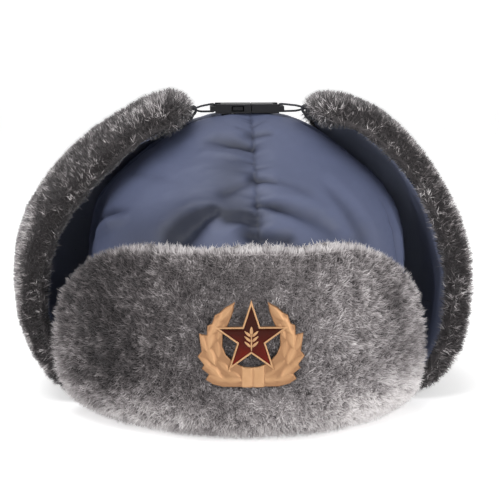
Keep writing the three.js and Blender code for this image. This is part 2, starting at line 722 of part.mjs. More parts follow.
const hat = new THREE.Group();
hat.add(mesh("crown", crown(), CLOTH));
hat.add(mesh("front_flap_fur", furWithSeat(front.fur), FUR));
hat.add(mesh("front_flap_facing", front.cloth, CLOTH));
hat.add(mesh("ear_flap_right_fur", rightEar.fur, FUR));
hat.add(mesh("ear_flap_right_facing", rightEar.cloth, CLOTH));
hat.add(mesh("ear_flap_left_fur", leftEar.fur, FUR));
hat.add(mesh("ear_flap_left_facing", leftEar.cloth, CLOTH));
hat.add(mesh("neck_flap_fur", neck.fur, FUR));
hat.add(mesh("neck_flap_facing", neck.cloth, CLOTH));

const badgeParts = badge();
const badgeGroup = new THREE.Group();
badgeGroup.position.set(BADGE.x, 0, BADGE.z);
badgeGroup.add(mesh("badge_plate", badgeParts.metal, GILT));
badgeGroup.add(mesh("badge_enamel", badgeParts.enamel, ENAMEL));
hat.add(badgeGroup);

const buckleParts = buckle();
hat.add(mesh("buckle_socket", buckleParts.socket, BLACK));
hat.add(mesh("buckle_plug", buckleParts.plug, BLACK));

const rightTape = tieTape(RIGHT_EAR, -1);
const leftTape = tieTape(LEFT_EAR, 1);
hat.add(mesh("tie_tape_right", rightTape.geometry, TEXTILE_BLACK));
hat.add(mesh("tie_tape_left", leftTape.geometry, TEXTILE_BLACK));
hat.add(mesh("tie_cord_right", tieLoop(-1, BUCKLE.start + 1, rightTape.fold), TEXTILE_BLACK));
hat.add(mesh("tie_cord_left", tieLoop(1, BUCKLE.end - 1, leftTape.fold), TEXTILE_BLACK));

const middle = new THREE.Box3().setFromObject(hat).getCenter(new THREE.Vector3());
hat.position.set(-middle.x, -middle.y, 0);

export default hat;
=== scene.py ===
"""A winter hat with a padded cloth crown and four fur flaps turned up, buckled over the top.

Lengths in the tables are millimetres. Every mesh is built in metres, in the row frame: +Z up,
-Y the way the hat faces, +X the wearer's left.
"""

import math
from contextlib import contextmanager
from functools import partial

import bmesh
import bpy
import numpy as np
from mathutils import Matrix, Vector, noise
from mathutils.bvhtree import BVHTree
from mathutils.geometry import delaunay_2d_cdt


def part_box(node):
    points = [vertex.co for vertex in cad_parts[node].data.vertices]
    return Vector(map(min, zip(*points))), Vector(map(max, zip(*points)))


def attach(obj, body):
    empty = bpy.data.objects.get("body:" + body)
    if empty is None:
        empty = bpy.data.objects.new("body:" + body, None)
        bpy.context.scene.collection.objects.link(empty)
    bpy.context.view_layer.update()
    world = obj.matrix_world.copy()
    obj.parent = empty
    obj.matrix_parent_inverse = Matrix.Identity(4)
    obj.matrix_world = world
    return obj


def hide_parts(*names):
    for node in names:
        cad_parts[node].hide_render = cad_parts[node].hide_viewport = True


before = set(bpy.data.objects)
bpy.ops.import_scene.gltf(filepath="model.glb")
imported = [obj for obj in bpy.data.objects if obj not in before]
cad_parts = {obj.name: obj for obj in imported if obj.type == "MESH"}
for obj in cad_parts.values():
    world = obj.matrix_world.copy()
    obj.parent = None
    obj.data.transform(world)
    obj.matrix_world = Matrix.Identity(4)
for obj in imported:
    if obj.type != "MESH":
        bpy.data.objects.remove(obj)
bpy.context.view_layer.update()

MM = 0.001

# The colours of the real finishes, as sRGB, with some colours of painted light and shade among them.
FUR_BLACK, FUR_DARK, FUR_MIDDLE, FUR_TIP = "#1f1c1d", "#6e6869", "#beb8b9", "#f6f2f2"
# The root colours are partly the fur's own darker underwool and partly painted shade deep in the pile.
ROOT_DARK, ROOT_MIDDLE, ROOT_PALE = "#2c292a", "#4c4746", "#a39d9c"
NYLON, NYLON_SHADE = "#50566e", "#474d62"
# The linings are the crown's nylon painted lighter, a painted light for the light that falls between the
# flaps and the crown.
FACING_NYLON, FACING_SHADE = "#8b91a4", "#747a8e"
# The first colour below is painted shade, mixed into the nylon deep in its creases, along its seams and
# puckers and on shaded patches.
NYLON_PAINTED_SHADE, NYLON_SHEEN = "#0e1322", "#a9b3dc"
# The hollow colour is painted shade, for the badge's hollows.
GILT, GILT_DULL, GILT_HOLLOW_SHADE = "#b28d6a", "#9d7855", "#8a674a"
ENAMEL_RED, ENAMEL_DEEP, ENAMEL_CLOUD = "#6a1105", "#250b03", "#2c0702"
PLASTIC_BLACK, PLASTIC_DEEP = "#141418", "#0e0e11"
TEXTILE_BLACK, TEXTILE_RIB = "#18181b", "#3a3b41"
FLOOR, FLOOR_SHADE = "#fbfbfb", "#f8f8f8"


# Small tools

def linear(colour):
    """An sRGB hex colour as the linear values that sockets take."""
    parts = [int(colour[i:i + 2], 16) / 255 for i in (1, 3, 5)]
    return [c / 12.92 if c <= 0.04045 else ((c + 0.055) / 1.055) ** 2.4 for c in parts] + [1]


def add(tree, kind, *values, stops=(), **settings):
    """Adds a node, with its settings, a ramp's (place, colour) stops and its inputs, in order or as
    one dict by name. An input is a value, a hex colour, or the socket or node to link from."""
    prefixes = ("GeometryNode", "FunctionNode", "ShaderNode", "")
    made = tree.nodes.new(next(p + kind for p in prefixes if hasattr(bpy.types, p + kind)))
    for name, value in settings.items():
        setattr(made, name, value)
    in_use = [s for s in made.inputs if s.enabled]
    pairs = zip(in_use, values)
    if values and isinstance(values[0], dict):
        pairs = [(next(s for s in in_use if s.name == name), value) for name, value in values[0].items()]
    for socket, value in pairs:
        if isinstance(value, bpy.types.Node):
            value = next(s for s in value.outputs if s.enabled)
        if isinstance(value, bpy.types.NodeSocket):
            tree.links.new(value, socket)
        else:
            is_colour = isinstance(value, str) and value.startswith("#")
            socket.default_value = linear(value) if is_colour else value
    if stops:
        elements = made.color_ramp.elements
        while len(elements) < len(stops):
            elements.new(0.5)
        for element, (place, colour) in zip(elements, stops):
            element.position = place
            element.color = linear(colour)
    return made


def smoothstep(value, low, high):
    share = np.clip((value - low) / (high - low), 0, 1)
    return share * share * (3 - 2 * share)


def bell(distance, width):
    return np.exp(-((distance / width) ** 2))


def unit(vectors):
    return vectors / np.linalg.norm(vectors, axis=-1, keepdims=True)


def round_about(count):
    """As many angles, evenly spread over a full turn."""
    return np.arange(count) / count * math.tau


def rough(points, size, seed):
    """Smooth noise from about -1 to 1 at each point, with bumps about size across."""
    shift = Vector((seed * 17.3, seed * 5.1, seed * 9.7))
    return np.array([noise.noise(Vector(p) / size + shift) for p in points])


def to_line(points, line):
    """How far each point is from a line through a few points, and where along it, counted in
    points."""
    best, along = np.full(len(points), np.inf), np.zeros(len(points))
    for i, (a, b) in enumerate(zip(line, line[1:])):
        a, b = np.array(a, float), np.array(b, float)
        share = np.clip((points - a) @ (b - a) / ((b - a) @ (b - a)), 0, 1)
        away = np.linalg.norm(points - a - share[:, None] * (b - a), axis=1)
        along = np.where(away < best, i + share, along)
        best = np.minimum(best, away)
    return best, along


def rounded(line, times, closed=False):
    """A line with each corner cut a few times, so that it bends evenly."""
    for _ in range(times):
        after = np.roll(line, -1, 0)
        cut = np.stack([0.75 * line + 0.25 * after, 0.25 * line + 0.75 * after], 1)
        cut = cut.reshape(-1, line.shape[1])
        line = cut if closed else np.vstack([line[:1], cut[1:-3], line[-1:]])
    return line


def each_point(mesh, what):
    found = np.empty(len(mesh.vertices) * 3)
    mesh.vertices.foreach_get(what, found)
    return found.reshape(-1, 3)


places = partial(each_point, what="co")
normals = partial(each_point, what="normal")


def move_to(mesh, points):
    mesh.vertices.foreach_set("co", np.ascontiguousarray(points, dtype=float).ravel())
    mesh.update()


def mark(mesh, name, values, kind="FLOAT"):
    """Stores a value or a vector with each of the mesh's points."""
    data = mesh.attributes.new(name, kind, "POINT").data
    data.foreach_set("vector" if kind == "FLOAT_VECTOR" else "value", np.ravel(values))


def new_object(name, mesh):
    made = bpy.data.objects.new(name, mesh)
    bpy.context.scene.collection.objects.link(made)
    return made


def mesh_of(name, points, faces):
    mesh = bpy.data.meshes.new(name)
    mesh.from_pydata([tuple(p) for p in points], [], faces)
    mesh.update()
    return mesh


def ring_faces(rings, count, start=0, closed=False):
    """The faces between rings of count points that follow each other, and from the last ring to
    the first if they're closed."""
    firsts = [start + r * count for r in range(rings)]
    pairs = list(zip(firsts, firsts[1:] + firsts[:1]))
    return [(a + i, a + (i + 1) % count, b + (i + 1) % count, b + i)
            for a, b in (pairs if closed else pairs[:-1]) for i in range(count)]


def cap_faces(start, count, middle):
    """The faces from a ring of count points to a point in its middle."""
    return [(start + i, start + (i + 1) % count, middle) for i in range(count)]


@contextmanager
def reworked(mesh, sources=None):
    """Lends the faces of a mesh, or of its sources, for bmesh to work on, and puts them in it."""
    work = bmesh.new()
    for source in sources or [mesh]:
        work.from_mesh(source)
    yield work
    work.to_mesh(mesh)
    work.free()


def turned_out(mesh):
    """The mesh with its normals outwards."""
    with reworked(mesh) as work:
        bmesh.ops.recalc_face_normals(work, faces=work.faces)
    return mesh


def joined(name, meshes):
    """One mesh made from several, which are then removed."""
    made = bpy.data.meshes.new(name)
    with reworked(made, meshes):
        for mesh in meshes:
            bpy.data.meshes.remove(mesh)
    return made


def settled(piece):
    """The piece with its modifiers worked out, which are then removed."""
    shape = bpy.data.meshes.new_from_object(piece.evaluated_get(bpy.context.evaluated_depsgraph_get()))
    old = piece.data
    piece.modifiers.clear()
    piece.data = shape
    bpy.data.meshes.remove(old)
    shape.name = piece.name
    return piece


def copied(node, name):
    """A new piece with a CAD node's surface, its loose triangles joined to quads."""
    mesh = bpy.data.meshes.new(name)
    with reworked(mesh, [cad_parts[node].data]) as work:
        bmesh.ops.remove_doubles(work, verts=work.verts, dist=1e-6)
        bmesh.ops.join_triangles(
            work, faces=work.faces, angle_face_threshold=0.6, angle_shape_threshold=3.1)
    mesh.materials.clear()
    return new_object(name, mesh)


def surface_of(points, mesh):
    return BVHTree.FromPolygons([Vector(p) for p in points], [tuple(f.vertices) for f in mesh.polygons])


def cad_surface(node):
    """The surface of a CAD node, to measure distances to."""
    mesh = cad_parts[node].data
    return surface_of([v.co for v in mesh.vertices], mesh)


def distances(tree, points):
    """How far each point is from a surface, in millimetres."""
    return np.array([tree.find_nearest(Vector(p))[3] for p in points]) / MM


def thickness(mesh, start, missing):
    """How far it is from under each point straight in to the solid's other side."""
    points = places(mesh)
    body = surface_of(points, mesh)
    found = np.full(len(points), float(missing))
    for i, (point, normal) in enumerate(zip(points, normals(mesh))):
        inwards = -Vector(normal)
        hit = body.ray_cast(Vector(point) + inwards * start, inwards)
        if hit[0] is not None:
            found[i] = hit[3]
    return found


def spread_evenly(mesh, values):
    """Each point's value averaged with its neighbours'."""
    edges = np.empty(len(mesh.edges) * 2, int)
    mesh.edges.foreach_get("vertices", edges)
    a, b = edges.reshape(-1, 2).T
    total, count = values.copy(), np.ones(len(values))
    for one, other in ((a, b), (b, a)):
        np.add.at(total, one, values[other])
        np.add.at(count, one, 1)
    return total / count


def hand_in(piece, node):
    """Hangs a piece under the root body and hides the CAD node that it stands for."""
    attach(piece, "root")
    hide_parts(node)
    return piece


def finish(piece, look, node, smooth=True):
    """Gives a piece its material and its shading, hangs it under the root body and hides its CAD node."""
    piece.data.materials.clear()
    piece.data.materials.append(look)
    piece.data.polygons.foreach_set("use_smooth", [smooth] * len(piece.data.polygons))
    return hand_in(piece, node)


# Materials

FUR_MAP = "OFBake"  # x is how light a strand is, y how far along it a point lies
WAVE = 2 * math.pi / 20  # the Wave texture's scale for one wave a metre


def material(name, inputs_for, *details):
    """A new material, whose shader takes the inputs that a function makes from what adds a node and
    from the place on the object."""
    made = bpy.data.materials.new(name)
    made.use_nodes = True
    made.node_tree.nodes.clear()
    node = partial(add, made.node_tree)
    inputs = inputs_for(node, node("TexCoord").outputs["Object"], *details)
    node("OutputMaterial", node("BsdfPrincipled", inputs))
    return made


def sheared_fur(node, _):
    """Dense sheared fur: dark at the root, partly from its own darker underwool and partly as painted
    shade deep in the pile, a soft grey along the strand and pale at the tips, which gives it depth, with a
    dull surface that keeps the light soft."""
    tone, height = node("SeparateXYZ", node("UVMap", uv_map=FUR_MAP)).outputs[:2]
    strand = node("ValToRGB", tone, stops=[
        (0.0, FUR_BLACK), (0.3, FUR_DARK), (0.62, FUR_MIDDLE), (1.0, FUR_TIP),
    ])
    root = node("ValToRGB", tone, stops=[(0.2, ROOT_DARK), (0.55, ROOT_MIDDLE), (0.95, ROOT_PALE)])
    # How much of the strand's own colour shows at each height over the root; lower down the darker root
    # colour shows, partly the fur's own and partly painted shade deep in the pile.
    shown = node("ValToRGB", height, stops=[(0.0, "#585858"), (0.4, "#cccccc"), (1.0, "#ffffff")])
    return {
        "Base Color": node("Mix", shown, root, strand, data_type="RGBA"),
        "Roughness": 0.75, "Specular IOR Level": 0.25, "Sheen Weight": 0.15, "Sheen Roughness": 0.45,
    }


def satin_nylon(node, place, colour, shade, sheen):
    """Satin nylon shell cloth: a tight weave that gives a soft wide shine, slightly uneven dye, and
    painted shade deep in its creases, along its seams and puckers, on broad shaded patches of the crown
    and along the linings' turned-in edges. Its threads are too fine to show in the render, so they're
    drawn as coarse as 0.5 mm apart."""
    patches = node("TexNoise", {"Vector": place, "Scale": 1 / (25 * MM), "Detail": 4.0})
    threads = node("TexNoise", {"Vector": place, "Scale": 1 / (1.1 * MM), "Detail": 2.0})
    mottled = node("Math", threads, 0.25, operation="MULTIPLY")
    mottled = node("Math", patches, 0.75, mottled, operation="MULTIPLY_ADD")
    dyed = node("Mix", mottled, shade, colour, data_type="RGBA")
    # Painted shade, stored with the points of the crown and of the linings.
    crease = node("Attribute", attribute_name="crease").outputs["Fac"]
    deep = node("Math", crease, 0.93, operation="MULTIPLY")
    waves = [node("TexWave", {
        "Vector": place, "Scale": WAVE / (0.5 * MM), "Distortion": 0.6, "Detail": 1.0, "Detail Scale": 2.0,
    }, bands_direction=way).outputs["Fac"] for way in ("X", "Z")]
    woven = node("Math", *waves, operation="MULTIPLY")
    return {
        "Base Color": node("Mix", deep, dyed, NYLON_PAINTED_SHADE, data_type="RGBA"),
        "Roughness": node("MapRange", {"Value": patches, "To Min": 0.42, "To Max": 0.58}),
        "Normal": node("Bump", {"Height": woven, "Strength": 0.25, "Distance": 0.08 * MM}),
        "Specular IOR Level": 0.3,
        "Sheen Weight": sheen, "Sheen Roughness": 0.35, "Sheen Tint": NYLON_SHEEN,
    }


def gilt_brass(node, place):
    """Stamped brass with a thin gilt wash: a warm metal shine, blurred unevenly by years of handling, with
    painted light on the raised leaves and the star and painted shade, browner, in the hollows, which
    brings out the relief."""
    cloudy = node("TexNoise", {"Vector": place, "Scale": 1 / (2.9 * MM), "Detail": 5.0})
    gilt = node("Mix", cloudy, GILT_DULL, GILT, data_type="RGBA")
    worn = node("Attribute", attribute_name="worn").outputs["Fac"]
    return {
        "Base Color": node("Mix", worn, GILT_HOLLOW_SHADE, gilt, data_type="RGBA"),
        "Roughness": node("MapRange", {"Value": cloudy, "To Min": 0.42, "To Max": 0.6}),
        "Metallic": 0.8,
    }


def hot_enamel(node, place):
    """Fired glass enamel: a smooth clear surface that gives small sharp lights, over a red that is darker
    and browner towards the top."""
    cloudy = node("TexNoise", {"Vector": place, "Scale": 1 / (4.5 * MM), "Detail": 3.0})
    height = node("SeparateXYZ", place).outputs["Z"]
    lower = node("MapRange", {"Value": height, "From Min": 55 * MM, "From Max": 37 * MM})
    glass = node("Mix", lower, ENAMEL_DEEP, ENAMEL_RED, data_type="RGBA")
    return {
        "Base Color": node("Mix", cloudy, ENAMEL_CLOUD, glass, data_type="RGBA"),
        "Roughness": 0.12, "Specular IOR Level": 0.1,
    }


def moulded_acetal(node, place):
    """Injection-moulded black acetal: a satin skin with a dull wide shine, and a faint grain left by
    the mould."""
    grain = node("TexNoise", {"Vector": place, "Scale": 1 / (0.4 * MM), "Detail": 2.0})
    return {
        "Base Color": node("Mix", grain, PLASTIC_DEEP, PLASTIC_BLACK, data_type="RGBA"),
        "Normal": node("Bump", {"Height": grain, "Strength": 0.1, "Distance": 0.02 * MM}),
        "Roughness": 0.4, "Specular IOR Level": 0.2,
    }


def woven_polyester(node, place, spacing):
    """Black polyester tape or cord: round ribs of thread that catch a dull light. They stand spacing
    apart, which is coarser than the real thread, so that they show."""
    ribs = node("TexWave", {
        "Vector": place, "Scale": WAVE / (spacing * MM), "Distortion": 1.0,
    }, bands_direction="DIAGONAL").outputs["Fac"]
    return {
        "Base Color": node("Mix", ribs, TEXTILE_BLACK, TEXTILE_RIB, data_type="RGBA"),
        "Normal": node("Bump", {"Height": ribs, "Strength": 0.5, "Distance": 0.1 * MM}),
        "Roughness": 0.8,
    }


def pale_board(node, place):
    """Matt white board, lit a little from beneath as a light table is, so that it stays white."""
    faint = node("TexNoise", {"Vector": place, "Scale": 1 / (330 * MM)})
    height = node("SeparateXYZ", place).outputs["Z"]
    lit = {"Value": height, "From Max": 0.5, "To Min": 0.42, "To Max": 0.7}
    return {
        "Base Color": node("Mix", faint, FLOOR_SHADE, FLOOR, data_type="RGBA"),
        "Roughness": 0.9, "Emission Color": FLOOR, "Emission Strength": node("MapRange", lit),
    }


# Fur

# One row for each fur flap: how far apart its strands stand, how light they are, how much that varies, how
# far they stray from their way, how grainy the fur is, how light the ground between them is, which is
# painted shade, and how much longer they are than the pile is deep, because they lean.
PELT_COLUMNS = ["Spacing", "Tone", "Contrast", "Stray", "Grain", "Ground", "Fuzz"]
PELTS = {
    "front_flap": [0.52, 0.40, 0.68, 0.4, 0.5, 0.3, 1.9],
    "ear_flap_right": [0.58, 0.16, 1.35, 0.6, 2.7, 0.1, 1.5],
    "ear_flap_left": [0.56, 0.16, 1.35, 0.6, 2.7, 0.1, 1.5],
    "neck_flap": [0.66, 0.54, 0.9, 0.6, 1.6, 0.25, 1.8],
}
PILE = 2.8  # how far the tips stand off the hide where the fur is full
SKIN_VOXEL = 2.0
STRAND_WIDTH = 0.28  # coarser than a real hair, so that a strand stands for several
LOCK = 2.9  # how wide the little locks are that the strands gather in
MOST_STRANDS = 6.0e6  # to a square metre, before the spacing thins them out
# How much lighter the front flap's fur is painted at places from the wearer's right to their left: painted
# light and shade for how the light falls across it.
FRONT_PAINTED_LIGHT = [
    (-100, -0.12), (-70, -0.34), (-40, -0.07), (0, 0.05), (30, 0.11), (45, 0.18), (60, 0.12),
    (75, -0.03), (100, -0.07),
]
PAINTED_DENT = (68.8, -93.4, 61.3)  # where a painted shade marks a dent in the front flap's fur


def hide(name, node, facing):
    """The surface that the strands stand on: the fur's solid, drawn in where the fur is free by the
    depth of the pile. Its points carry that depth, how much of the fur shows, the way over the
    facing's edge and how near that edge is."""
    piece = copied(node, name)
    remesh = piece.modifiers.new("even", "REMESH")
    remesh.mode = "VOXEL"
    remesh.voxel_size = SKIN_VOXEL * MM
    piece.modifiers.new("soft", "SMOOTH").iterations = 3
    settled(piece)
    mesh = piece.data
    points, outwards = places(mesh), normals(mesh)
    rim = cad_surface(facing)
    from_facing, from_crown = distances(rim, points), distances(cad_surface("crown"), points)
    bare = np.maximum(1 - smoothstep(from_facing, 0.3, 1), 1 - smoothstep(from_crown, 1.2, 3))
    pile = np.minimum(PILE * MM, 0.42 * thickness(mesh, 0.1 * MM, 2 * MM)) * (1 - bare)
    for _ in range(3):
        pile = spread_evenly(mesh, pile)
    # Beside the facing the hide swells up to the level of the cloth, so that the fur falls over it.
    near = 1 - smoothstep(from_facing, 1, 5)
    swell = 1.7 * MM * near * smoothstep(from_facing, 0.5, 1.2)
    pile *= 1 - near
    move_to(mesh, points - outwards * (pile - swell)[:, None])
    over = np.array([rim.find_nearest(Vector(p))[0] for p in points]) - points
    away = np.linalg.norm(over, axis=1, keepdims=True) / MM
    over *= 1.4 * (1 - smoothstep(away, 1.5, 7)) / np.maximum(away, 0.01) / MM
    mark(mesh, "pile", pile)
    mark(mesh, "cover", 1 - bare)
    mark(mesh, "over", over, "FLOAT_VECTOR")
    mark(mesh, "beside", 1 - smoothstep(away, 1, 5))
    return piece


def fur_tree():
    """Geometry Nodes that stand strands on a hide, gathered in small locks, and join them to it."""
    tree = bpy.data.node_groups.new("fur_pile", "GeometryNodeTree")
    node = partial(add, tree)
    kinds = {"Geometry": "Geometry", "Seed": "Int", "Badge": "Object", "Material": "Material"}
    tree.interface.new_socket("Geometry", in_out="OUTPUT", socket_type="NodeSocketGeometry")
    for name in ("Geometry", "Spacing", "Width", "Lock", "Fuzz", "Contrast", "Stray", "Grain",
                 "Ground", "Seed", "Badge", "Material"):
        kind = "NodeSocket" + kinds.get(name, "Float")
        tree.interface.new_socket(name, in_out="INPUT", socket_type=kind)
    given = node("NodeGroupInput").outputs
    seed = given["Seed"]
    marks = {
        name: node("InputNamedAttribute", {"Name": name},
                   data_type="FLOAT_VECTOR" if name == "over" else "FLOAT")
        for name in ("cover", "pile", "reach", "beside", "over", "tone", "light", "height")
    }

    spots = node("DistributePointsOnFaces", {
        "Mesh": given["Geometry"], "Distance Min": given["Spacing"], "Density Max": MOST_STRANDS,
        "Density Factor": marks["cover"], "Seed": seed,
    }, distribute_method="POISSON").outputs
    position = node("InputPosition")
    badge = node("ObjectInfo", given["Badge"], transform_space="RELATIVE")
    covered = node("Raycast", {
        "Target Geometry": badge.outputs["Geometry"], "Source Position": position,
        "Ray Direction": (0, -1, 0), "Ray Length": 9 * MM,
    })
    shown = node("DeleteGeometry", {"Geometry": spots["Points"], "Selection": covered})

    # Each noise: how big its bumps are, how many finer layers it has and how strong they are.
    noises = {
        name: node("TexNoise", {
            "Vector": position, "Scale": 1 / (size * MM), "Detail": detail, "Roughness": roughness,
        })
        for name, size, detail, roughness in (
            ("slow", 14, 1, 0.5), ("fine", 2.4, 1, 0.5), ("patch", 26, 2, 0.5),
            ("blotch", 7.7, 2, 0.5), ("crevice", 3.3, 3, 0.7), ("speck", 3, 2, 0.5),
            ("grain", 2, 1, 0.5),
        )
    }

    # Strands lean to the middle of their lock, with a slow wave over the whole flap, a fine curl,
    # some straying, a little lift and the way over the facing's edge.
    scale = node("Math", 1.0, given["Lock"], operation="DIVIDE")
    locks = node("TexVoronoi", {"Vector": position, "Scale": scale}).outputs
    to_lock = node("VectorMath", locks["Position"], position, operation="SUBTRACT")
    pull = node("Math", 0.6, given["Lock"], operation="DIVIDE")
    leans = [node("VectorMath", to_lock, pull, operation="SCALE")]
    for name, share in (("slow", 1.4), ("fine", 1.2)):
        colour = noises[name].outputs["Color"]
        swing = node("VectorMath", colour, (0.5, 0.5, 0.5), operation="SUBTRACT")
        leans.append(node("VectorMath", swing, share, operation="SCALE"))
    stray = node("RandomValue", {"Min": (-1, -1, -1), "Max": (1, 1, 1), "Seed": seed},
                 data_type="FLOAT_VECTOR")
    leans.append(node("VectorMath", stray, given["Stray"], operation="SCALE"))
    way = spots["Normal"]
    for lean in leans + [(0, 0, 0.25), marks["over"]]:
        way = node("VectorMath", way, lean, operation="ADD")
    aligned = node("AlignRotationToVector", {"Vector": way}, axis="Z")
    spin = node("RandomValue", {"Min": 0.0, "Max": math.tau, "Seed": seed})
    turned = node("RotateRotation", aligned, node("CombineXYZ", {"Z": spin}), rotation_space="LOCAL")

    # Lengths: the pile's own, longer beside a facing, shorter at a lock's edge, and by chance.
    length = marks["pile"]
    falling = node("Math", marks["beside"], 2.6 * MM, operation="MULTIPLY")
    for part in (given["Fuzz"], marks["reach"], falling):
        length = node("Math", length, part, operation="ADD")
    second, third = (node("Math", seed, more, operation="ADD") for more in (1, 2))
    chance = node("RandomValue", {"Min": 0.72, "Max": 1.0, "Seed": second})
    edge = node("MapRange", {
        "Value": locks["Distance"], "From Min": 0.3, "From Max": 0.8, "To Min": 1.0, "To Max": 0.65,
    })
    for share in (chance, edge):
        length = node("Math", length, share, operation="MULTIPLY")

    # How light each strand is: its own chance, its lock's, painted shade in the gaps between locks and in
    # crevices, patches and grain.
    own = node("RandomValue", {"Min": -0.1, "Max": 0.1, "Seed": third})
    gap_shade = node("MapRange", {
        "Value": locks["Distance"], "From Min": 0.35, "From Max": 0.75, "To Min": 0.04, "To Max": -0.16,
    })
    of_lock = node("SeparateXYZ", locks["Color"])
    of_lock = node("MapRange", {"Value": of_lock, "To Min": -0.09, "To Max": 0.09})
    crevice_shade = node("MapRange", {
        "Value": noises["crevice"], "From Min": 0.44, "From Max": 0.34, "To Min": 0.0, "To Max": -0.45,
    })
    light = own
    for part in (gap_shade, of_lock, crevice_shade):
        light = node("Math", light, part, operation="ADD")
    for name, weight in (("patch", 0.6), ("blotch", 1.1), ("speck", 0.6)):
        offset = node("Math", noises[name], 0.5, operation="SUBTRACT")
        light = node("Math", offset, weight, light, operation="MULTIPLY_ADD")
    light = node("Math", light, given["Contrast"], marks["tone"], operation="MULTIPLY_ADD")
    grain = node("Math", noises["grain"], 0.5, operation="SUBTRACT")
    light = node("Math", grain, given["Grain"], light, operation="MULTIPLY_ADD")
    least = node("Math", own, 1.1, 0.03, operation="MULTIPLY_ADD")
    light = node("Math", light, least, operation="MAXIMUM")
    toned = node("StoreNamedAttribute", {"Geometry": shown, "Name": "light", "Value": light})

    strand = node("MeshCone", {
        "Vertices": 3, "Side Segments": 1, "Radius Top": 0.0, "Radius Bottom": 1.0, "Depth": 1.0,
    }, fill_type="NONE")
    along = node("SeparateXYZ", node("InputPosition")).outputs["Z"]
    strand = node("StoreNamedAttribute", {"Geometry": strand, "Name": "height", "Value": along})
    scale = node("CombineXYZ", given["Width"], given["Width"], length)
    instances = node("InstanceOnPoints", {
        "Points": toned, "Instance": strand, "Rotation": turned, "Scale": scale,
    })
    parts = [node("RealizeInstances", {"Geometry": instances})]

    # Painted shade: the hide itself is as dark as the lower end of a strand, for the shade deep between
    # the strands.
    ground = given["Geometry"]
    for name, value in (("light", marks["tone"]), ("height", given["Ground"])):
        ground = node("StoreNamedAttribute", {"Geometry": ground, "Name": name, "Value": value})
    parts.append(ground)
    joined_parts = node("JoinGeometry")
    for part in parts:
        tree.links.new(part.outputs[0], joined_parts.inputs[0])

    corner = node("RandomValue", {"Min": -0.012, "Max": 0.012, "Seed": 5})
    across = node("Math", marks["light"], corner, operation="ADD")
    across = node("Clamp", across, 0.01, 0.99)
    mapped = node("StoreNamedAttribute", {
        "Geometry": joined_parts, "Name": FUR_MAP, "Value": node("CombineXYZ", across, marks["height"]),
    }, data_type="FLOAT2", domain="CORNER")
    smooth = node("SetShadeSmooth", {"Geometry": mapped, "Shade Smooth": True})
    node("NodeGroupOutput", node("SetMaterial", {"Geometry": smooth, "Material": given["Material"]}))
    return tree


def fur_tone_and_painted_light(flap, points, outwards, tone):
    """How light the fur is at each point: the flap's own tone, with painted light and shade on it. It is
    painted lighter where it faces up, darker inside the ear flaps' fronts, on the wearer's right of the
    front flap and in its dents, and lighter on outer sides, along free edges and near the lower edge."""
    x, y, z = points.T / MM
    beside, behind, up = np.abs(outwards[:, 0]), outwards[:, 1], outwards[:, 2]
    # Painted light where the fur faces up.
    light = tone + 0.16 * smoothstep(up, 0.35, 0.9)
    if flap.startswith("ear"):
        # Painted shade inside the ear flaps' fronts, most on the wearer's right and towards their lower
        # ends, and painted light on their outer sides.
        outer = smoothstep(beside + 0.6 * behind, 0.45, 0.85)
        dark = 0.02 + (0.1 + 0.16 * (x < 0)) * bell(z - 95, 30)
        dark += 0.05 * (1 - smoothstep(z, 60, 80))
        light += 0.28 * outer - dark * (1 - outer) - 0.1 * smoothstep(up, 0.35, 0.9)
    if flap == "front_flap":
        # Painted light and shade across the front flap: darker on the wearer's right, lighter near its
        # lower edge, where light comes up from the floor, darker high up on the wearer's left, and lighter
        # on its upper and side faces.
        light += np.interp(x, *zip(*FRONT_PAINTED_LIGHT))
        low, high = 1 - smoothstep(z, 3, 35), smoothstep(z, 70, 90)
        light += low * (0.28 + 0.36 * smoothstep(np.abs(x - 5), 20, 60))
        light += high * (0.02 - 0.12 * smoothstep(x, 0, 40))
        light += 0.14 * smoothstep(up, 0.3, 0.95) * smoothstep(-y, 85, 100)
        light += 0.2 * smoothstep(beside, 0.6, 0.95)
        # Painted shade in a dent.
        light -= 0.3 * bell(np.linalg.norm(points / MM - PAINTED_DENT, axis=1), 7)
    return light


def fur_reach(points):
    """How much longer the strands are at the ear flaps' tips and down the wearer's left flap."""
    x, _, z = points.T / MM
    tips = smoothstep(z, 122, 140) * (1 - smoothstep(np.abs(x), 40, 60))
    outside = smoothstep(x, 85, 105) * bell(z - 75, 40)
    return (2.4 * tips + 1.8 * outside) * MM


def pelt(flap, tree, fur, badge, seed, row):
    """A flap's fur: its hide with the strands on it."""
    piece = hide(flap + "_pelt", flap + "_fur", flap + "_facing")
    points = places(piece.data)
    mark(piece.data, "tone", fur_tone_and_painted_light(flap, points, normals(piece.data), row["Tone"]))
    mark(piece.data, "reach", fur_reach(points))
    values = dict(row, Width=STRAND_WIDTH, Lock=LOCK, Seed=seed, Badge=badge, Material=fur)
    for name in ("Spacing", "Width", "Lock", "Fuzz"):
        values[name] *= MM
    pile = piece.modifiers.new("pile", "NODES")
    pile.node_group = tree
    for item in tree.interface.items_tree:
        if item.in_out == "INPUT" and item.name in values:
            pile[item.identifier] = values[item.name]
    piece.update_tag()
    return hand_in(settled(piece), flap + "_fur")


# Crown

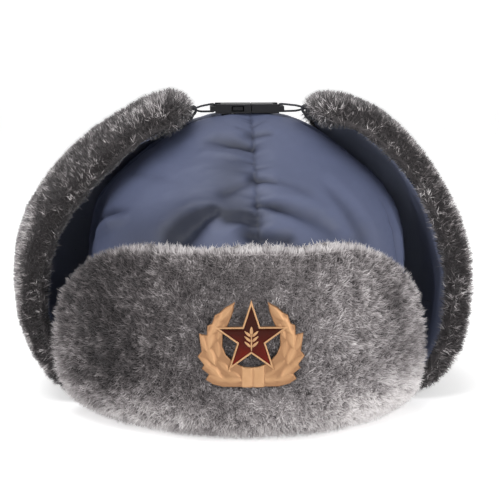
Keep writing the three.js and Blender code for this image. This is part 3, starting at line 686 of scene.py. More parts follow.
MIDDLE = (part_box("crown")[0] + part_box("crown")[1]) / 2
MIDDLE.y -= 0.5 * MM  # the crown reaches 1 mm further back than forward
DOME_MIDDLE = np.array([MIDDLE.x, MIDDLE.y, 0]) / MM
CROWN_COLUMNS = ["z", "half_width", "front", "back"]
CROWN_ROWS = [
    [5, 81, 103.5, 105],
    [26, 81.5, 105, 106],
    [46, 81.5, 105, 106],
    [64, 81.5, 102.5, 105],
    [80, 80.5, 97.5, 102],
    [94, 76.5, 89.5, 96],
    [105, 69.5, 79.5, 88],
    [115, 59.5, 67, 77],
    [124, 48.5, 53.5, 64],
    [131.5, 38, 41, 51],
    [137, 29, 30, 39],
    [140.6, 19.5, 19, 27],
    [141.8, 10, 8, 15],
    [141.9, 0.3, -3.7, 4.3],
]
CROWN_TOP = len(CROWN_ROWS) - 1
CROWN_TURNS = 384
CROWN_WALL = 4
CROWN_EXTRA_WALL = 2.4  # the wall is thicker by this at the top
FRONT_SEAM = 2.3  # the front seam stands this far to the wearer's left of the middle
# Folds in the crown's cloth, and patches of painted shade on it: the depth at each point of a line, below
# zero for a ridge, the width, how much painted shade the cloth gets along it, if not by its depth, and the
# line in the row frame. Rows with no depth are painted shade alone.
CROWN_FOLDS = [
    [[3, 4.6, 5.2, 5], [3, 5, 7, 8], 1.2,
     [(-15.3, -80.6, 100.4), (-20.4, -80.7, 97.6), (-26, -82, 92.6), (-31.2, -82.4, 87.1)]],
    [[-0.8, -1.6, -0.8], 5.5, None, [(-17.8, -77.9, 104.5), (-26, -77.4, 101.5), (-38, -75, 95)]],
    [[0, 0], 3.6, [0.6, 0.8], [(-18, -82.3, 96), (-28, -83, 86.5)]],
    [[0, 0, 0], 12, [0.4, 0.5, 0.4], [(-64, -44, 88), (-48, -69.5, 88.5), (-33, -77, 94)]],
    [[0, 0], 3.4, [0.6, 0.5], [(-15.7, -80.4, 100.4), (0.9, -84.1, 99.4)]],
    [[0, 0], 9, [0.2, 0.2], [(-24, -77, 103), (0, -82, 104)]],
    [[0, 0], 15, [0.16, 0.14], [(-6, -56, 120), (-16, -72, 111)]],
    [[0.8, 1.3, 0.8], 9, 0.36, [(-5.2, -58.5, 119.6), (-7.5, -72, 111.5), (-5.5, -82.2, 103.4)]],
    [[1, 2.4, 2.8, 2.4], [3, 4, 5, 5], 0.8,
     [(-8, -85, 98), (-1.5, -85.4, 98), (2, -86.5, 96), (0, -90, 91)]],
    [[2, 3.2, 3, 2.4, 2], [2.4, 3, 3.4, 4.2, 5], [0.9, 1.1, 0.75, 0.6, 0.4],
     [(6.2, -79.7, 104.4), (14.6, -81.1, 103.6), (22, -81.4, 101.7), (30.5, -81.2, 97.8),
      (39.5, -80.2, 91)]],
    [[-0.5, -1, -0.5], 3.4, None, [(12.8, -76, 109), (25.8, -75, 106.8), (35.2, -75.7, 102)]],
    [[1, 0.7], [3, 4], [0.3, 0.25], [(18, -68, 113.6), (28.6, -69, 110)]],
    [[0.5, 1.4, 1.8, 2], [3.6, 4.4, 5, 5.4], [0, 0.3, 0.5, 0.5],
     [(39, -58.8, 112.2), (43.8, -64.4, 105.6), (50.2, -68.5, 96.4), (54.9, -69.9, 88)]],
    [[-0.3, -0.6, -0.3], 4.4, None, [(44.6, -50.4, 113.9), (52.4, -58, 103.8), (62, -60.6, 90.7)]],
    [[0, -1.2, -2.2, -2], 1.8, None,
     [(71, -30, 104), (75.5, -34, 92), (77.4, -37.6, 79.7), (78, -39, 62)]],
    [[0, 1.2, 2, 2], 1.8, None, [(68, -37, 103), (73.5, -41, 92), (75, -44, 79), (75.5, -45, 62)]],
    [[1.8, 3, 2.4], [4.8, 4.8, 3.4], [0.4, 0.75, 0.9],
     [(-14, -37.4, 131.9), (-6.1, -42.2, 130.6), (3, -44.8, 128.6)]],
    [[0, 0], 6, [0.12, 0.16], [(-12, -37, 132), (2, -42, 130)]],
    [[-0.6, -0.9, -0.4], 2.8, None, [(-19, -44.6, 126.2), (-6.4, -50.5, 124.9), (3, -51.5, 124.2)]],
    [[0.7, 1.2], 1.5, None, [(-1.5, -29.2, 137.3), (4.5, -27.7, 136.5)]],
    [[1.8, 0.9], [2.8, 2.2], [0.8, 0.5], [(4, -34.4, 134), (13, -34.8, 134.3)]],
    [[2.1, 1.2], [2.6, 2.1], [0.95, 0.55], [(4, -66.2, 115.2), (13.5, -68.6, 114)]],
    [[1.2, 0.9], [2.6, 3.6], [0.4, 0.3], [(2, -69, 112.8), (-10, -73.6, 110)]],
    [[2.4, 2.2, 0.5], 2.2, [0.5, 0.5, 0.1],
     [(-71, -24.5, 90), (-62.5, -42.8, 95.7), (-54.8, -54.4, 97.6)]],
    [[-1.6, -3.6, -1.6], 3.2, None, [(-69.2, -34.7, 85.3), (-62.4, -46.8, 91.3), (-56, -55.6, 94.3)]],
    [[3, 3.4, 2.4], 3.6, 1, [(3.4, -91.3, 90.1), (10.7, -91.8, 89.6), (19.1, -91.4, 89.1)]],
    [[0.4, 2.6, 3.4], 9, None, [(-60, -5, 107), (-71, -18, 96), (-79, -16, 82)]],
    [[0.6, 1, 0.4], 2.4, None, [(-52, -30, 112), (-40, -48, 112), (-30, -60, 110)]],
    [[1.6, 2.6, 1.4], 3.4, None, [(-50, 72, 90), (-34, 84, 95), (-16, 88, 100)]],
    [[-0.8, -1.4, -0.8], 3.8, None, [(-46, 70, 98), (-30, 80, 102), (-14, 84, 107)]],
    [[1.2, 2.4, 1.8], 3.2, None, [(10, 88, 103), (28, 84, 99), (46, 76, 90)]],
    [[0.8, 2.2, 1.4], 2.6, None, [(4, 56, 128), (16, 54, 128), (28, 46, 126)]],
    [[1, 2, 1.2], 3.2, None, [(72, 34, 92), (64, 52, 98), (54, 64, 98)]],
    [[1, 2, 1.2], 3.2, None, [(-72, 30, 94), (-62, 52, 100), (-50, 62, 104)]],
]
FOLD_SHADE = 0.22  # how dark a fold is for each millimetre of its depth
PUCKER_STEP = 5  # between the puckers that the seam's thread draws in the cloth


def column(name, place):
    """A column's value at places counted in rows, on a smooth curve through them."""
    values = np.array([row[CROWN_COLUMNS.index(name)] for row in CROWN_ROWS], float)
    values = np.concatenate([[2 * values[0] - values[1]], values, [2 * values[-1] - values[-2]]])
    i = np.clip(np.floor(place).astype(int), 0, CROWN_TOP - 1)
    f = place - i
    before, a, b, after = (values[i + k] for k in range(4))
    square = 2 * before - 5 * a + 4 * b - after
    cube = 3 * (a - b) + after - before
    return a + 0.5 * f * (b - before + f * (square + f * cube))


def crown_grid(levels, wall):
    """Points of the dome round its middle, a row for each level from the edge to the top, wall
    inside its outer face, and the way out at each of them."""
    angle = round_about(CROWN_TURNS)
    grid = np.empty((len(levels), CROWN_TURNS, 3))
    z, half, front, back = (column(name, levels)[:, None] for name in CROWN_COLUMNS)
    grid[..., 0] = half * np.cos(angle)
    grid[..., 1] = (back - front) / 2 + (back + front) / 2 * np.sin(angle)
    grid[..., 2] = z
    around = np.roll(grid, -1, 1) - np.roll(grid, 1, 1)
    normal = unit(np.cross(around, np.gradient(grid, axis=0)))
    return grid - normal * wall, normal


def pucker(arc, from_seam, rng, mask):
    """Short creases across a seam, where its thread draws the cloth together."""
    dent = np.zeros(arc.shape)
    place = 12.0
    while place < arc.max():
        for side in (-1, 1):
            if rng.random() < 0.75:
                depth, width = rng.uniform(0.4, 1.5), rng.uniform(1.5, 2.4)
                length, tilt = rng.uniform(2.5, 5), rng.uniform(-0.15, 0.25)
                on_side = smoothstep(side * from_seam, -0.5, 1.5)
                away = np.abs(from_seam)
                line = (arc - place - rng.uniform(-1.5, 1.5) - tilt * away) / width
                dent += depth * np.exp(-line ** 2) * np.exp(-away / length) * on_side * mask
        place += PUCKER_STEP * rng.uniform(0.7, 1.4)
    return dent


def crown_dents(grid):
    """How far the cloth is drawn in at each point of the dome, in millimetres, and how much painted shade
    it gets there, from 0 to 1, in its folds, seams and puckers and on shaded patches."""
    rng = np.random.default_rng(4)
    x, y, z = grid[..., 0], grid[..., 1], grid[..., 2]
    steps = np.linalg.norm(np.diff(grid, axis=0), axis=2)
    arc = np.concatenate([np.zeros((1, CROWN_TURNS)), np.cumsum(steps, axis=0)])
    dent, crease = np.zeros(x.shape), np.zeros(x.shape)
    high = smoothstep(z, 108, 132)
    # The four seams, front, rear, left and right: those at the sides are shallower.
    for distance, mask, deep in (
        (x - FRONT_SEAM, smoothstep(-y, 2, 12), 1), (x, smoothstep(y, -2, 8), 1),
        (y - 2, smoothstep(x, 2, 12), 0.35), (y - 2, smoothstep(-x, 2, 12), 0.35),
    ):
        groove = deep * (0.7 + 1.5 * high) * bell(distance, 7)
        groove += 0.5 * bell(distance, 1.3) + 0.4 * bell(distance, 0.45)
        dent = np.maximum(dent, groove * mask * smoothstep(z, 20, 60))
        drawn = pucker(arc, distance, rng, mask * bell(distance, 40))
        dent += drawn
        # Painted shade in the puckers and along the seam's groove.
        crease += 0.34 * drawn + 0.28 * mask * bell(distance, 0.9)
    flat = grid.reshape(-1, 3)
    for depth, width, shade, line in CROWN_FOLDS:
        away, along = to_line(flat + DOME_MIDDLE, line)
        if shade is None:
            shade = np.maximum(depth, 0) * FOLD_SHADE
        deep, wide, dark = (
            np.interp(along, np.linspace(0, len(line) - 1, np.size(values)), np.ravel(values))
            for values in (depth, width, shade))
        dent += (deep * bell(away, wide)).reshape(x.shape)
        # Painted shade along each fold, and along the rows that are shade alone.
        crease += (dark * bell(away, 1.1 * wide)).reshape(x.shape)
    # The wadding fills each side of the dome, unevenly, with small wrinkles that run mostly level.
    dent -= 1.3 * smoothstep(np.abs(x), 14, 42) * smoothstep(z, 60, 105)
    stretched = flat * np.array([1, 1, 2.2])
    for way, height, size, seed in ((flat, 0.9, 34, 1), (stretched, 0.5, 17, 2), (stretched, 0.14, 5, 6)):
        dent += height * rough(way, size, seed).reshape(x.shape)
    return dent, np.clip(crease, 0, 1)


def crown():
    """The padded dome: a dented outer face and a plain inner one, joined along the edge. Its rows
    are closest where it shows."""
    levels = np.concatenate([
        np.linspace(0, 3, 10, endpoint=False), np.linspace(3, 9, 96, endpoint=False),
        np.linspace(9, CROWN_TOP, 40),
    ])
    outer, normal = crown_grid(levels, 0)
    dents, creases = crown_dents(outer)
    outer = outer - normal * dents[..., None]
    inner, normal = crown_grid(np.linspace(0, CROWN_TOP, 14), CROWN_WALL)
    inner = inner - normal * (CROWN_EXTRA_WALL * smoothstep(inner[..., 2], 60, 120))[..., None]
    points, faces, starts = [], [], []
    for grid, step in ((outer, 1), (inner, -1)):
        grid[0, :, 2] = CROWN_ROWS[0][0]
        start, rows = len(points), len(grid)
        starts.append(start)
        points += list(grid.reshape(-1, 3)) + [grid[-1].mean(0)]
        rings = ring_faces(rows, CROWN_TURNS, start)
        cap = cap_faces(start + (rows - 1) * CROWN_TURNS, CROWN_TURNS, start + rows * CROWN_TURNS)
        faces += [face[::step] for face in rings + cap]
    for i in range(CROWN_TURNS):
        j = (i + 1) % CROWN_TURNS
        faces.append((j, i, starts[1] + i, starts[1] + j))
    mesh = mesh_of("crown_shell", (np.array(points) + DOME_MIDDLE) * MM, faces)
    # The painted shade of each point of the outer face; the inner face gets none.
    shade_per_point = np.zeros(len(points))
    shade_per_point[:creases.size] = creases.ravel()
    mark(mesh, "crease", shade_per_point)
    return new_object("crown_shell", mesh)


# Facings

# How wide and high each flap's cloth is when it lies flat, in metres.
FACINGS = {
    "front_flap": (0.205, 0.078),
    "ear_flap_right": (0.095, 0.165),
    "ear_flap_left": (0.095, 0.160),
    "neck_flap": (0.200, 0.078),
}


def facing(name, node):
    """The cloth sewn inside a flap, with the slack creases that the sewing leaves, and painted shade along
    its edges, where it is turned in."""
    piece = copied(node, name)
    rounding = piece.modifiers.new("round", "SUBSURF")
    rounding.levels = rounding.render_levels = 2
    settled(piece)
    mesh = piece.data
    # Straight in from the narrow edge of the sheet, its other side is far away.
    edge = smoothstep(thickness(mesh, 0.05 * MM, 0), 1.6 * MM, 3 * MM)
    for _ in range(4):
        edge = np.maximum(edge, spread_evenly(mesh, edge))
    # Painted shade along the lining's edges.
    mark(mesh, "crease", edge)
    points = places(mesh)
    slack = 1.6 * rough(points / MM * np.array([1, 1, 0.7]), 13, 3) + 1.0 * rough(points / MM, 26, 4)
    move_to(mesh, points + normals(mesh) * (np.clip(slack, -0.9, 0.7))[:, None] * MM)
    return piece


# Badge

BADGE_LOW, BADGE_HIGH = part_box("badge_plate")
BADGE_MIDDLE = ((BADGE_LOW.x + BADGE_HIGH.x) / 2, 0.0482)
PLATE = 1.1  # how thick the wreath is at its edge
STAR_RADIUS, STAR_RISE, STAR_WAIST = 17.5, 2.3, 0.382
STAR_RIM = 0.9
STAR_FACE = 2.0  # how far the star's face stands before the plate's back
ENAMEL_FLOOR = STAR_FACE - 0.6
BADGE_BACK = BADGE_LOW.y + STAR_FACE * MM
WREATH_STEP, WREATH_MESH = 0.5, 0.42  # between points along the wreath's outline and inside it
# The right half of the wreath's outline, from its lower middle round to its tip and back inside.
WREATH = [
    (0, -19.8), (12.5, -19.6), (17, -18.4), (20.3, -16.2), (18.9, -13.8), (22.0, -11.2),
    (21.0, -9.4), (23.9, -5.6), (22.1, -3.4), (22.7, 0.6), (23.2, 4.8), (19.8, 4), (19.5, 8.2),
    (17.5, 9.2), (16.2, 12.9), (14.2, 14.0), (11.6, 16.4), (7.2, 18.8), (8, 14.4), (10, 9.2),
    (12.6, 4), (12.8, -1), (11.2, -5), (8.6, -7.6), (5.4, -9.6), (3, -10.5), (0, -10.7),
]
# Leaves of its right half: the place of the middle, the way it points in degrees from +x, the
# length, the width, and how high its ridge stands.
LEAVES = [
    [8.6, -16.2, 4, 9.5, 4.4, 0.55],
    [14.4, -15.6, 14, 9.0, 4.2, 0.5],
    [16.6, -12.0, 46, 9.5, 4.2, 0.6],
    [20.4, -8.6, 46, 8.5, 3.8, 0.5],
    [17.8, -5.2, 68, 9.5, 4.2, 0.62],
    [21.3, 0.8, 70, 8.8, 3.4, 0.5],
    [18.0, 2.4, 98, 9.5, 4.4, 0.62],
    [15.6, 8.4, 118, 9.5, 4.4, 0.6],
    [11.4, 13.8, 130, 10.0, 4.0, 0.55],
    [12.2, -10.2, 44, 8.0, 3.2, 0.42],
    [15.0, -2.4, 84, 8.0, 3.0, 0.42],
    [13.6, 5.6, 112, 8.0, 2.8, 0.42],
    [8.2, -13.6, 24, 7.0, 2.8, 0.4],
]
RIBBON_LEFT, RIBBON_RIGHT, RIBBON_RISE = -4.4, 5.9, 0.75


def ring_solid(name, loops, low, high):
    """A closed solid through loops of points from the back to the front, with both ends closed
    round a middle point."""
    count, last = len(loops[0]), (len(loops) - 1) * len(loops[0])
    points = [p for loop in loops for p in loop] + [low, high]
    faces = ring_faces(len(loops), count)
    faces += [face[::-1] for face in cap_faces(0, count, len(points) - 2)]
    faces += cap_faces(last, count, len(points) - 1)
    return turned_out(mesh_of(name, points, faces))


def on_badge(x, depth, z):
    """A point of the badge: x and z from its middle, and how far it stands before its back."""
    return Vector((BADGE_MIDDLE[0] + x * MM, BADGE_BACK - depth * MM, BADGE_MIDDLE[1] + z * MM))


def star_loop(inset, depth):
    """The star's outline, a little inside its edge, with each side cut in a few steps."""
    radius = STAR_RADIUS - inset / math.sin(math.pi / 10)
    corners = []
    for i in range(10):
        reach = radius * (STAR_WAIST if i % 2 else 1)
        angle = math.pi / 2 + i * math.pi / 5
        corners.append((reach * math.cos(angle), STAR_RISE + reach * math.sin(angle)))
    return [on_badge(x, depth, z) for x, z in stepped(corners, lambda length: 6)]


def stepped(outline, steps_for):
    """A closed outline with each side cut in as many steps as its length calls for."""
    cut = []
    for (x0, z0), (x1, z1) in zip(outline, outline[1:] + outline[:1]):
        steps = steps_for(math.hypot(x1 - x0, z1 - z0))
        cut += [(x0 + (x1 - x0) * s / steps, z0 + (z1 - z0) * s / steps) for s in range(steps)]
    return cut


def leaf_relief(x, z):
    """How high the stamped leaves and the ribbon stand over the wreath's face."""
    height = np.zeros(x.shape)
    for leaf_x, leaf_z, degrees, length, width, rise in LEAVES:
        turn = math.radians(degrees)
        dx, dz = np.abs(x) - leaf_x, z - leaf_z
        along = (dx * math.cos(turn) + dz * math.sin(turn)) / (length / 2)
        across = (-dx * math.sin(turn) + dz * math.cos(turn)) / (width / 2)
        room = np.clip(1 - np.abs(along) ** 1.8, 0.001, 1) ** 0.8
        share = np.clip(1 - np.abs(across) / room, 0, 1) * (np.abs(along) < 1)
        vein = 0.14 * np.exp(-((across * width / 0.5) ** 2)) * (share > 0)
        height = np.maximum(height, 1.35 * rise * share ** 0.85 * (1 - 0.3 * along) - vein)
    inside = (x > RIBBON_LEFT) & (x < RIBBON_RIGHT)
    fold = np.minimum(np.abs(x - (RIBBON_LEFT + RIBBON_RIGHT) / 2) / 0.9, 1)
    edge = np.clip(np.minimum(x - RIBBON_LEFT, RIBBON_RIGHT - x) / 0.5, 0.2, 1)
    return np.where(inside, RIBBON_RISE * (0.35 + 0.65 * fold) * edge, height)


def inside_outline(point, rim):
    x, z = point
    x0, z0 = rim.T
    x1, z1 = np.roll(rim, -1, 0).T
    crossing = (z0 > z) != (z1 > z)
    with np.errstate(divide="ignore", invalid="ignore"):
        reach = x0 + (z - z0) / (z1 - z0) * (x1 - x0)
    return np.count_nonzero(crossing & (x < reach)) % 2 == 1


def wreath_solid():
    """The wreath: its outline filled with small triangles, raised by its leaves and closed behind."""
    outline = WREATH + [(-x, z) for x, z in WREATH[::-1][1:-1]]
    rim = np.array(stepped(outline, lambda length: max(1, round(length / WREATH_STEP))))
    to_rim = lambda p: np.min(np.hypot(*(rim - p).T))
    nodes = [(x, z) for x in np.arange(-24, 24.2, WREATH_MESH) for z in np.arange(-20, 19.2, WREATH_MESH)]
    nodes = [p for p in nodes if inside_outline(p, rim) and to_rim(p) > 0.3]
    border = [(i, (i + 1) % len(rim)) for i in range(len(rim))]
    flat = [Vector(p) for p in list(rim) + nodes]
    spots, _, triangles = delaunay_2d_cdt(flat, border, [], 1, 1e-6)[:3]
    spots = np.array([tuple(p) for p in spots])
    from_rim = np.array([to_rim(p) for p in spots])
    front = PLATE - 0.35 + leaf_relief(*spots.T) + 0.35 * np.clip(from_rim / 0.5, 0, 1) ** 0.5
    count = len(spots)
    points = [on_badge(x, d, z) for (x, z), d in zip(spots, front)]
    points += [on_badge(x, 0, z) for x, z in spots]
    faces = [tuple(t) for t in triangles] + [tuple(count + v for v in t[::-1]) for t in triangles]
    sides = dict.fromkeys(pair for t in triangles for pair in zip(t, list(t[1:]) + [t[0]]))
    faces += [(b, a, count + a, count + b) for a, b in sides if (b, a) not in sides]
    return turned_out(mesh_of("wreath", points, faces))


def leaf_solid(x, z, turn, length, width, low, high):
    """A small raised leaf of the sprig on the star."""
    angles = round_about(16)
    along = length / 2 * np.cos(angles)
    across = width / 2 * np.sin(angles) * (1 - 0.35 * np.cos(angles))
    right = math.cos(turn) * along - math.sin(turn) * across
    up = math.sin(turn) * along + math.cos(turn) * across
    loops = [[on_badge(x + share * r, depth, z + share * u) for r, u in zip(right, up)]
             for share, depth in ((1, low), (1, high - 0.12), (0.6, high))]
    return ring_solid("sprig", loops, on_badge(x, low, z), on_badge(x, high + 0.05, z))


def block_mesh(low, high):
    corners = [(x, y, z) for x in (low[0], high[0]) for y in (low[1], high[1]) for z in (low[2], high[2])]
    faces = [(0, 1, 3, 2), (4, 6, 7, 5), (0, 4, 5, 1), (2, 3, 7, 6), (0, 2, 6, 4), (1, 5, 7, 3)]
    return turned_out(mesh_of("block", corners, faces))


def badge_metal():
    """The wreath, the star's rim and floor, the two prongs behind and the sprig, in one piece. Its points
    carry how bright the gilt is there: painted light on the leaves and the star, less round the sprig, and
    painted shade in the hollows between."""
    star = ring_solid("star", [
        star_loop(0, 0), star_loop(0, STAR_FACE - 0.3), star_loop(0.16, STAR_FACE),
        star_loop(STAR_RIM - 0.2, STAR_FACE + 0.02), star_loop(STAR_RIM, ENAMEL_FLOOR),
    ], on_badge(0, 0, STAR_RISE), on_badge(0, ENAMEL_FLOOR, STAR_RISE))
    prongs = [block_mesh(on_badge(x - 1.5, -8, -14), on_badge(x + 1.5, 0.5, -13)) for x in (-8, 8)]
    upright, low, high = math.pi / 2, STAR_FACE - 0.4, STAR_FACE + 0.35
    sprig = [leaf_solid(0, STAR_RISE - 1.2, upright, 9, 0.7, low, high - 0.1),
             leaf_solid(0, STAR_RISE + 3.8, upright, 3.8, 1.5, low, high)]
    for rise in (-2.3, 0.1, 2.4):
        for side in (-1, 1):
            turn = upright - side * math.radians(48)
            sprig.append(leaf_solid(side * 1.7, STAR_RISE + rise, turn, 3.8, 1.15, low, high))
    mesh = joined("badge_gilt", [wreath_solid(), star] + prongs + sprig)
    spots = places(mesh) / MM
    across, up = spots[:, 0] - BADGE_MIDDLE[0] / MM, spots[:, 2] - BADGE_MIDDLE[1] / MM
    from_star = np.hypot(across, up - STAR_RISE)
    raised = np.clip(leaf_relief(across, up) / 0.75, 0, 1)
    on_star = smoothstep(BADGE_BACK / MM - spots[:, 1], 1.3, 1.8) * smoothstep(20 - from_star, 0, 1)
    on_sprig = 1 - smoothstep(from_star, 5.5, 6)
    # Painted light on the raised leaves and the star, less round the sprig, and painted shade in the
    # hollows between.
    bright = np.maximum(raised, (0.9 - 0.6 * on_sprig) * on_star * (raised < 0.9))
    mark(mesh, "worn", bright)
    return new_object("badge_gilt", mesh)


def badge_enamel():
    """The glass in the star, a little domed."""
    loops = [
        star_loop(STAR_RIM + inset, STAR_FACE - below)
        for inset, below in ((0.02, 0.55), (0.02, 0.2), (0.3, 0.08), (1.2, 0.02))
    ]
    low, high = on_badge(0, STAR_FACE - 0.55, STAR_RISE), on_badge(0, STAR_FACE + 0.12, STAR_RISE)
    return new_object("badge_glass", ring_solid("badge_glass", loops, low, high))


# Buckle, cords and tapes

MOULD_EDGE = 0.8  # how far the buckle's edges are rounded
CORD = 0.55  # the cords' radius
CORD_SIDES, CORD_RINGS, BRAID = 12, 240, 1.6  # BRAID is the length of one turn of its strands
TAPE_THICKNESS, TAPE_HALF, TAPE_EDGE = 1.1, 3.4, 0.3
# For each side: the half of the buckle that the cord goes round, and where the tape folds round
# the cord.
TIES = [
    ["right", -1, "buckle_socket", (-23.6, -1.9, 144.0)],
    ["left", 1, "buckle_plug", (33.6, -1.9, 144.3)],
]


def softened(node, name):
    """A hard CAD piece with its edges rounded as a mould leaves them."""
    piece = copied(node, name)
    with reworked(piece.data) as work:
        bmesh.ops.dissolve_limit(work, angle_limit=0.02, verts=work.verts, edges=work.edges)
    bevel = piece.modifiers.new("edges", "BEVEL")
    bevel.width = MOULD_EDGE * MM
    bevel.segments = 3
    bevel.limit_method = "ANGLE"
    bevel.angle_limit = math.radians(35)
    return settled(piece)


def folded_tape(name, node, side, fold):
    """Flat tape that comes out from under a flap's tip and is folded back round the cord."""
    low, high = (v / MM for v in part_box(node))
    far = ((high.x if side > 0 else low.x) - fold[0]) * side, low.z + 0.5 - fold[2]
    half = TAPE_THICKNESS / 2
    bend = CORD + 0.2 + half
    path = [(bend + 0.9, -5.8), (bend - 0.6, -4.4), (bend - 1.0, -3.1), (-bend * 0.7, -1.9), (-bend, -0.8)]
    path += [(-bend * math.cos(a), bend * math.sin(a)) for a in np.linspace(0, math.pi, 9)]
    path += [(bend, -1.4), (bend + 0.2, -2.8), (bend + 1.3, -4.8), (bend + 4.5, -6.4), far]
    path = rounded(np.array(path), 2)
    along = unit(np.gradient(path, axis=0))
    inner = TAPE_HALF - TAPE_EDGE
    section = [
        (-TAPE_HALF, 0), (-inner, -half), (inner, -half), (TAPE_HALF, 0), (inner, half), (-inner, half),
    ]
    x, y, z = fold
    points = [((x + side * (u - dv * lift)) * MM, (y + across) * MM, (z + v + du * lift) * MM)
              for (u, v), (du, dv) in zip(path, along) for across, lift in section]
    count = len(section)
    faces = ring_faces(len(path), count)
    faces += [tuple(range(count)), tuple(range(len(points) - count, len(points)))]
    return new_object(name, turned_out(mesh_of(name, points, faces)))


def braided_loop(name, stops):
    """A closed braided cord through some stops, in millimetres, with its crossing strands raised."""
    smooth = rounded(np.array(stops, float), 3, closed=True)
    steps = np.linalg.norm(np.roll(smooth, -1, 0) - smooth, axis=1)
    steps = np.concatenate([[0], np.cumsum(steps)])
    at = np.linspace(0, steps[-1], CORD_RINGS, endpoint=False)
    looped = np.vstack([smooth, smooth[:1]])
    middle = np.stack([np.interp(at, steps, looped[:, k]) for k in range(3)], 1)
    along = unit(np.roll(middle, -1, 0) - np.roll(middle, 1, 0))
    first = unit(np.cross(along, (0.13, 1.0, 0.21)))  # a way that no part of the cords takes
    second = np.cross(along, first)
    points = []
    for centre, u, v, wind in zip(middle, first, second, at / BRAID * math.tau):
        for angle in round_about(CORD_SIDES):
            lift = max(abs(math.cos(2 * angle + wind)), abs(math.cos(2 * angle - wind)))
            reach = CORD * (0.86 + 0.14 * lift)
            points.append((centre + u * reach * math.cos(angle) + v * reach * math.sin(angle)) * MM)
    faces = ring_faces(CORD_RINGS, CORD_SIDES, closed=True)
    return new_object(name, turned_out(mesh_of(name, points, faces)))


def cord(name, buckle, side, fold):
    """The loop from the buckle's end bar to the fold of the tape, drawn tight."""
    low, high = (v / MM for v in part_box(buckle))
    bar = (low.x if side < 0 else high.x) - side * 1.0
    height = (low.z + high.z) / 2
    x, y, z = fold
    reach, wrap = TAPE_HALF + CORD + 0.3, 1.3 + CORD + 0.15
    stops = []
    for start, sign in ((-2.2, 1), (2.2, -1)):
        arc = [(bar - side * (1.0 + CORD), start * 0.4, height + sign * 0.5),
               (bar - side * 1.0, start * 0.7, height + sign * wrap),
               (bar + side * 0.6, start, height + sign * wrap)]
        end = (x - side * 2.2, y - sign * reach, z + sign * 1.5)
        run = [tuple(a + (b - a) * share for a, b in zip(arc[-1], end)) for share in (0.4, 0.8)]
        corner = [(x - side * 0.6, y - sign * reach, z + sign * 0.6),
                  (x, y - sign * (reach - 1.0), z), (x, y - sign * 1.5, z)]
        stops += (arc + run + corner)[::sign]
    return braided_loop(name, stops)


# Stage

EYE_DISTANCE = 0.8
ELEVATION, AZIMUTH = math.radians(9), math.radians(-2.5)
AIM = Vector((0.0054, -0.0019, 0.0708))
SENSOR = 36
FOCAL = 1538 / 500 * SENSOR  # from the photo's perspective, 1538 pixels in a picture 500 wide
# Each light's name, place, aim, size and power, in metres and watts.
LIGHTS = [
    ["key", (0.9, -1.1, 0.45), (0, 0, 0.05), 0.7, 11.5],
    ["fill", (-0.9, -1.0, 0.55), (-0.03, 0, 0.1), 0.8, 8.5],
    ["top", (-0.3, -0.3, 1.4), (0, 0, 0.07), 1.2, 13],
]
SKY_LIGHT = 0.38
FLOOR_TURNS = 64


def aimed(name, data, place, target):
    """A new camera or light at a place, that looks at a target."""
    made = new_object(name, data)
    made.location = place
    made.rotation_euler = (Vector(target) - Vector(place)).to_track_quat("-Z", "Y").to_euler()
    return made


def camera():
    level = math.cos(ELEVATION)
    way = Vector((math.sin(AZIMUTH) * level, -math.cos(AZIMUTH) * level, math.sin(ELEVATION)))
    data = bpy.data.cameras.new("camera")
    data.lens = FOCAL
    data.sensor_width = SENSOR
    bpy.context.scene.camera = aimed("camera", data, AIM + way * EYE_DISTANCE, AIM)


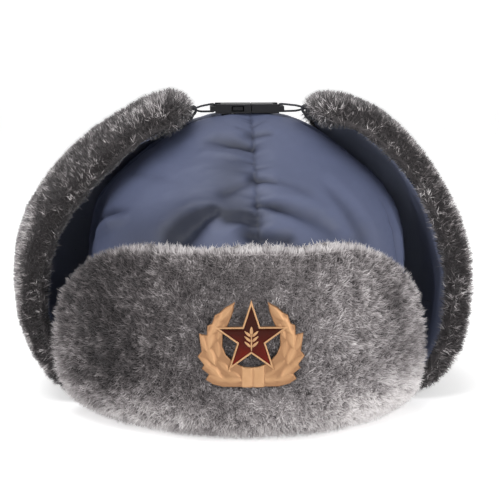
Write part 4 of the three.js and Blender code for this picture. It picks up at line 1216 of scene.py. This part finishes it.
def stage():
    """A round floor that curves up to a rim all round, three lights and an even sky."""
    profile = [(0.3, 0), (1.2, 0), (2.0, 0)]
    profile += [(2.0 + math.sin(a), 1 - math.cos(a)) for a in np.linspace(0.1, 1.3, 12)]
    points = [(r * math.cos(a), r * math.sin(a), z) for r, z in profile for a in round_about(FLOOR_TURNS)]
    points.append((0, 0, 0))
    faces = [face[::-1] for face in ring_faces(len(profile), FLOOR_TURNS)]
    faces += cap_faces(0, FLOOR_TURNS, len(points) - 1)
    floor = new_object("floor", mesh_of("floor", points, faces))
    floor.data.polygons.foreach_set("use_smooth", [True] * len(floor.data.polygons))
    floor.data.materials.append(material("pale_floor", pale_board))
    for name, place, target, size, power in LIGHTS:
        data = bpy.data.lights.new(name, "AREA")
        data.shape = "DISK"
        data.size = size
        data.energy = power
        aimed(name, data, place, target)
    world = bpy.data.worlds.new("studio")
    world.use_nodes = True
    world.node_tree.nodes.clear()
    sky = add(world.node_tree, "Background", {"Color": "#ffffff", "Strength": SKY_LIGHT})
    add(world.node_tree, "OutputWorld", sky)
    bpy.context.scene.world = world
    bpy.context.scene.view_settings.view_transform = "Standard"


camera()
stage()

cloth = material("satin_nylon_blue", satin_nylon, NYLON, NYLON_SHADE, 0.15)
# The linings' nylon, painted lighter than the crown's as a painted light.
lining_cloth_lit = material("satin_nylon_facing", satin_nylon, FACING_NYLON, FACING_SHADE, 0.3)
fur = material("sheared_fur", sheared_fur)
gilt, enamel = material("gilt_brass", gilt_brass), material("hot_enamel", hot_enamel)
acetal = material("moulded_acetal", moulded_acetal)
tape_black = material("black_tape", woven_polyester, 0.6)
cord_black = material("black_cord", woven_polyester, 0.5)

finish(crown(), cloth, "crown")
for flap, flat in FACINGS.items():
    node = flap + "_facing"
    lining = finish(facing(flap + "_lining", node), lining_cloth_lit, node)

finish(badge_metal(), gilt, "badge_plate")
finish(badge_enamel(), enamel, "badge_enamel")
for node in ("buckle_socket", "buckle_plug"):
    piece = softened(node, node.replace("buckle", "buckle_moulded"))
    finish(piece, acetal, node, smooth=False)
for label, side, buckle, fold in TIES:
    node = "tie_tape_" + label
    tape = folded_tape("woven_tape_" + label, node, side, fold)
    finish(tape, tape_black, node, smooth=False)
    finish(cord("cord_" + label, buckle, side, fold), cord_black, "tie_cord_" + label)

strands = fur_tree()
for seed, (flap, values) in enumerate(PELTS.items()):
    row = dict(zip(PELT_COLUMNS, values))
    pelt(flap, strands, fur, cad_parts["badge_plate"], seed, row)
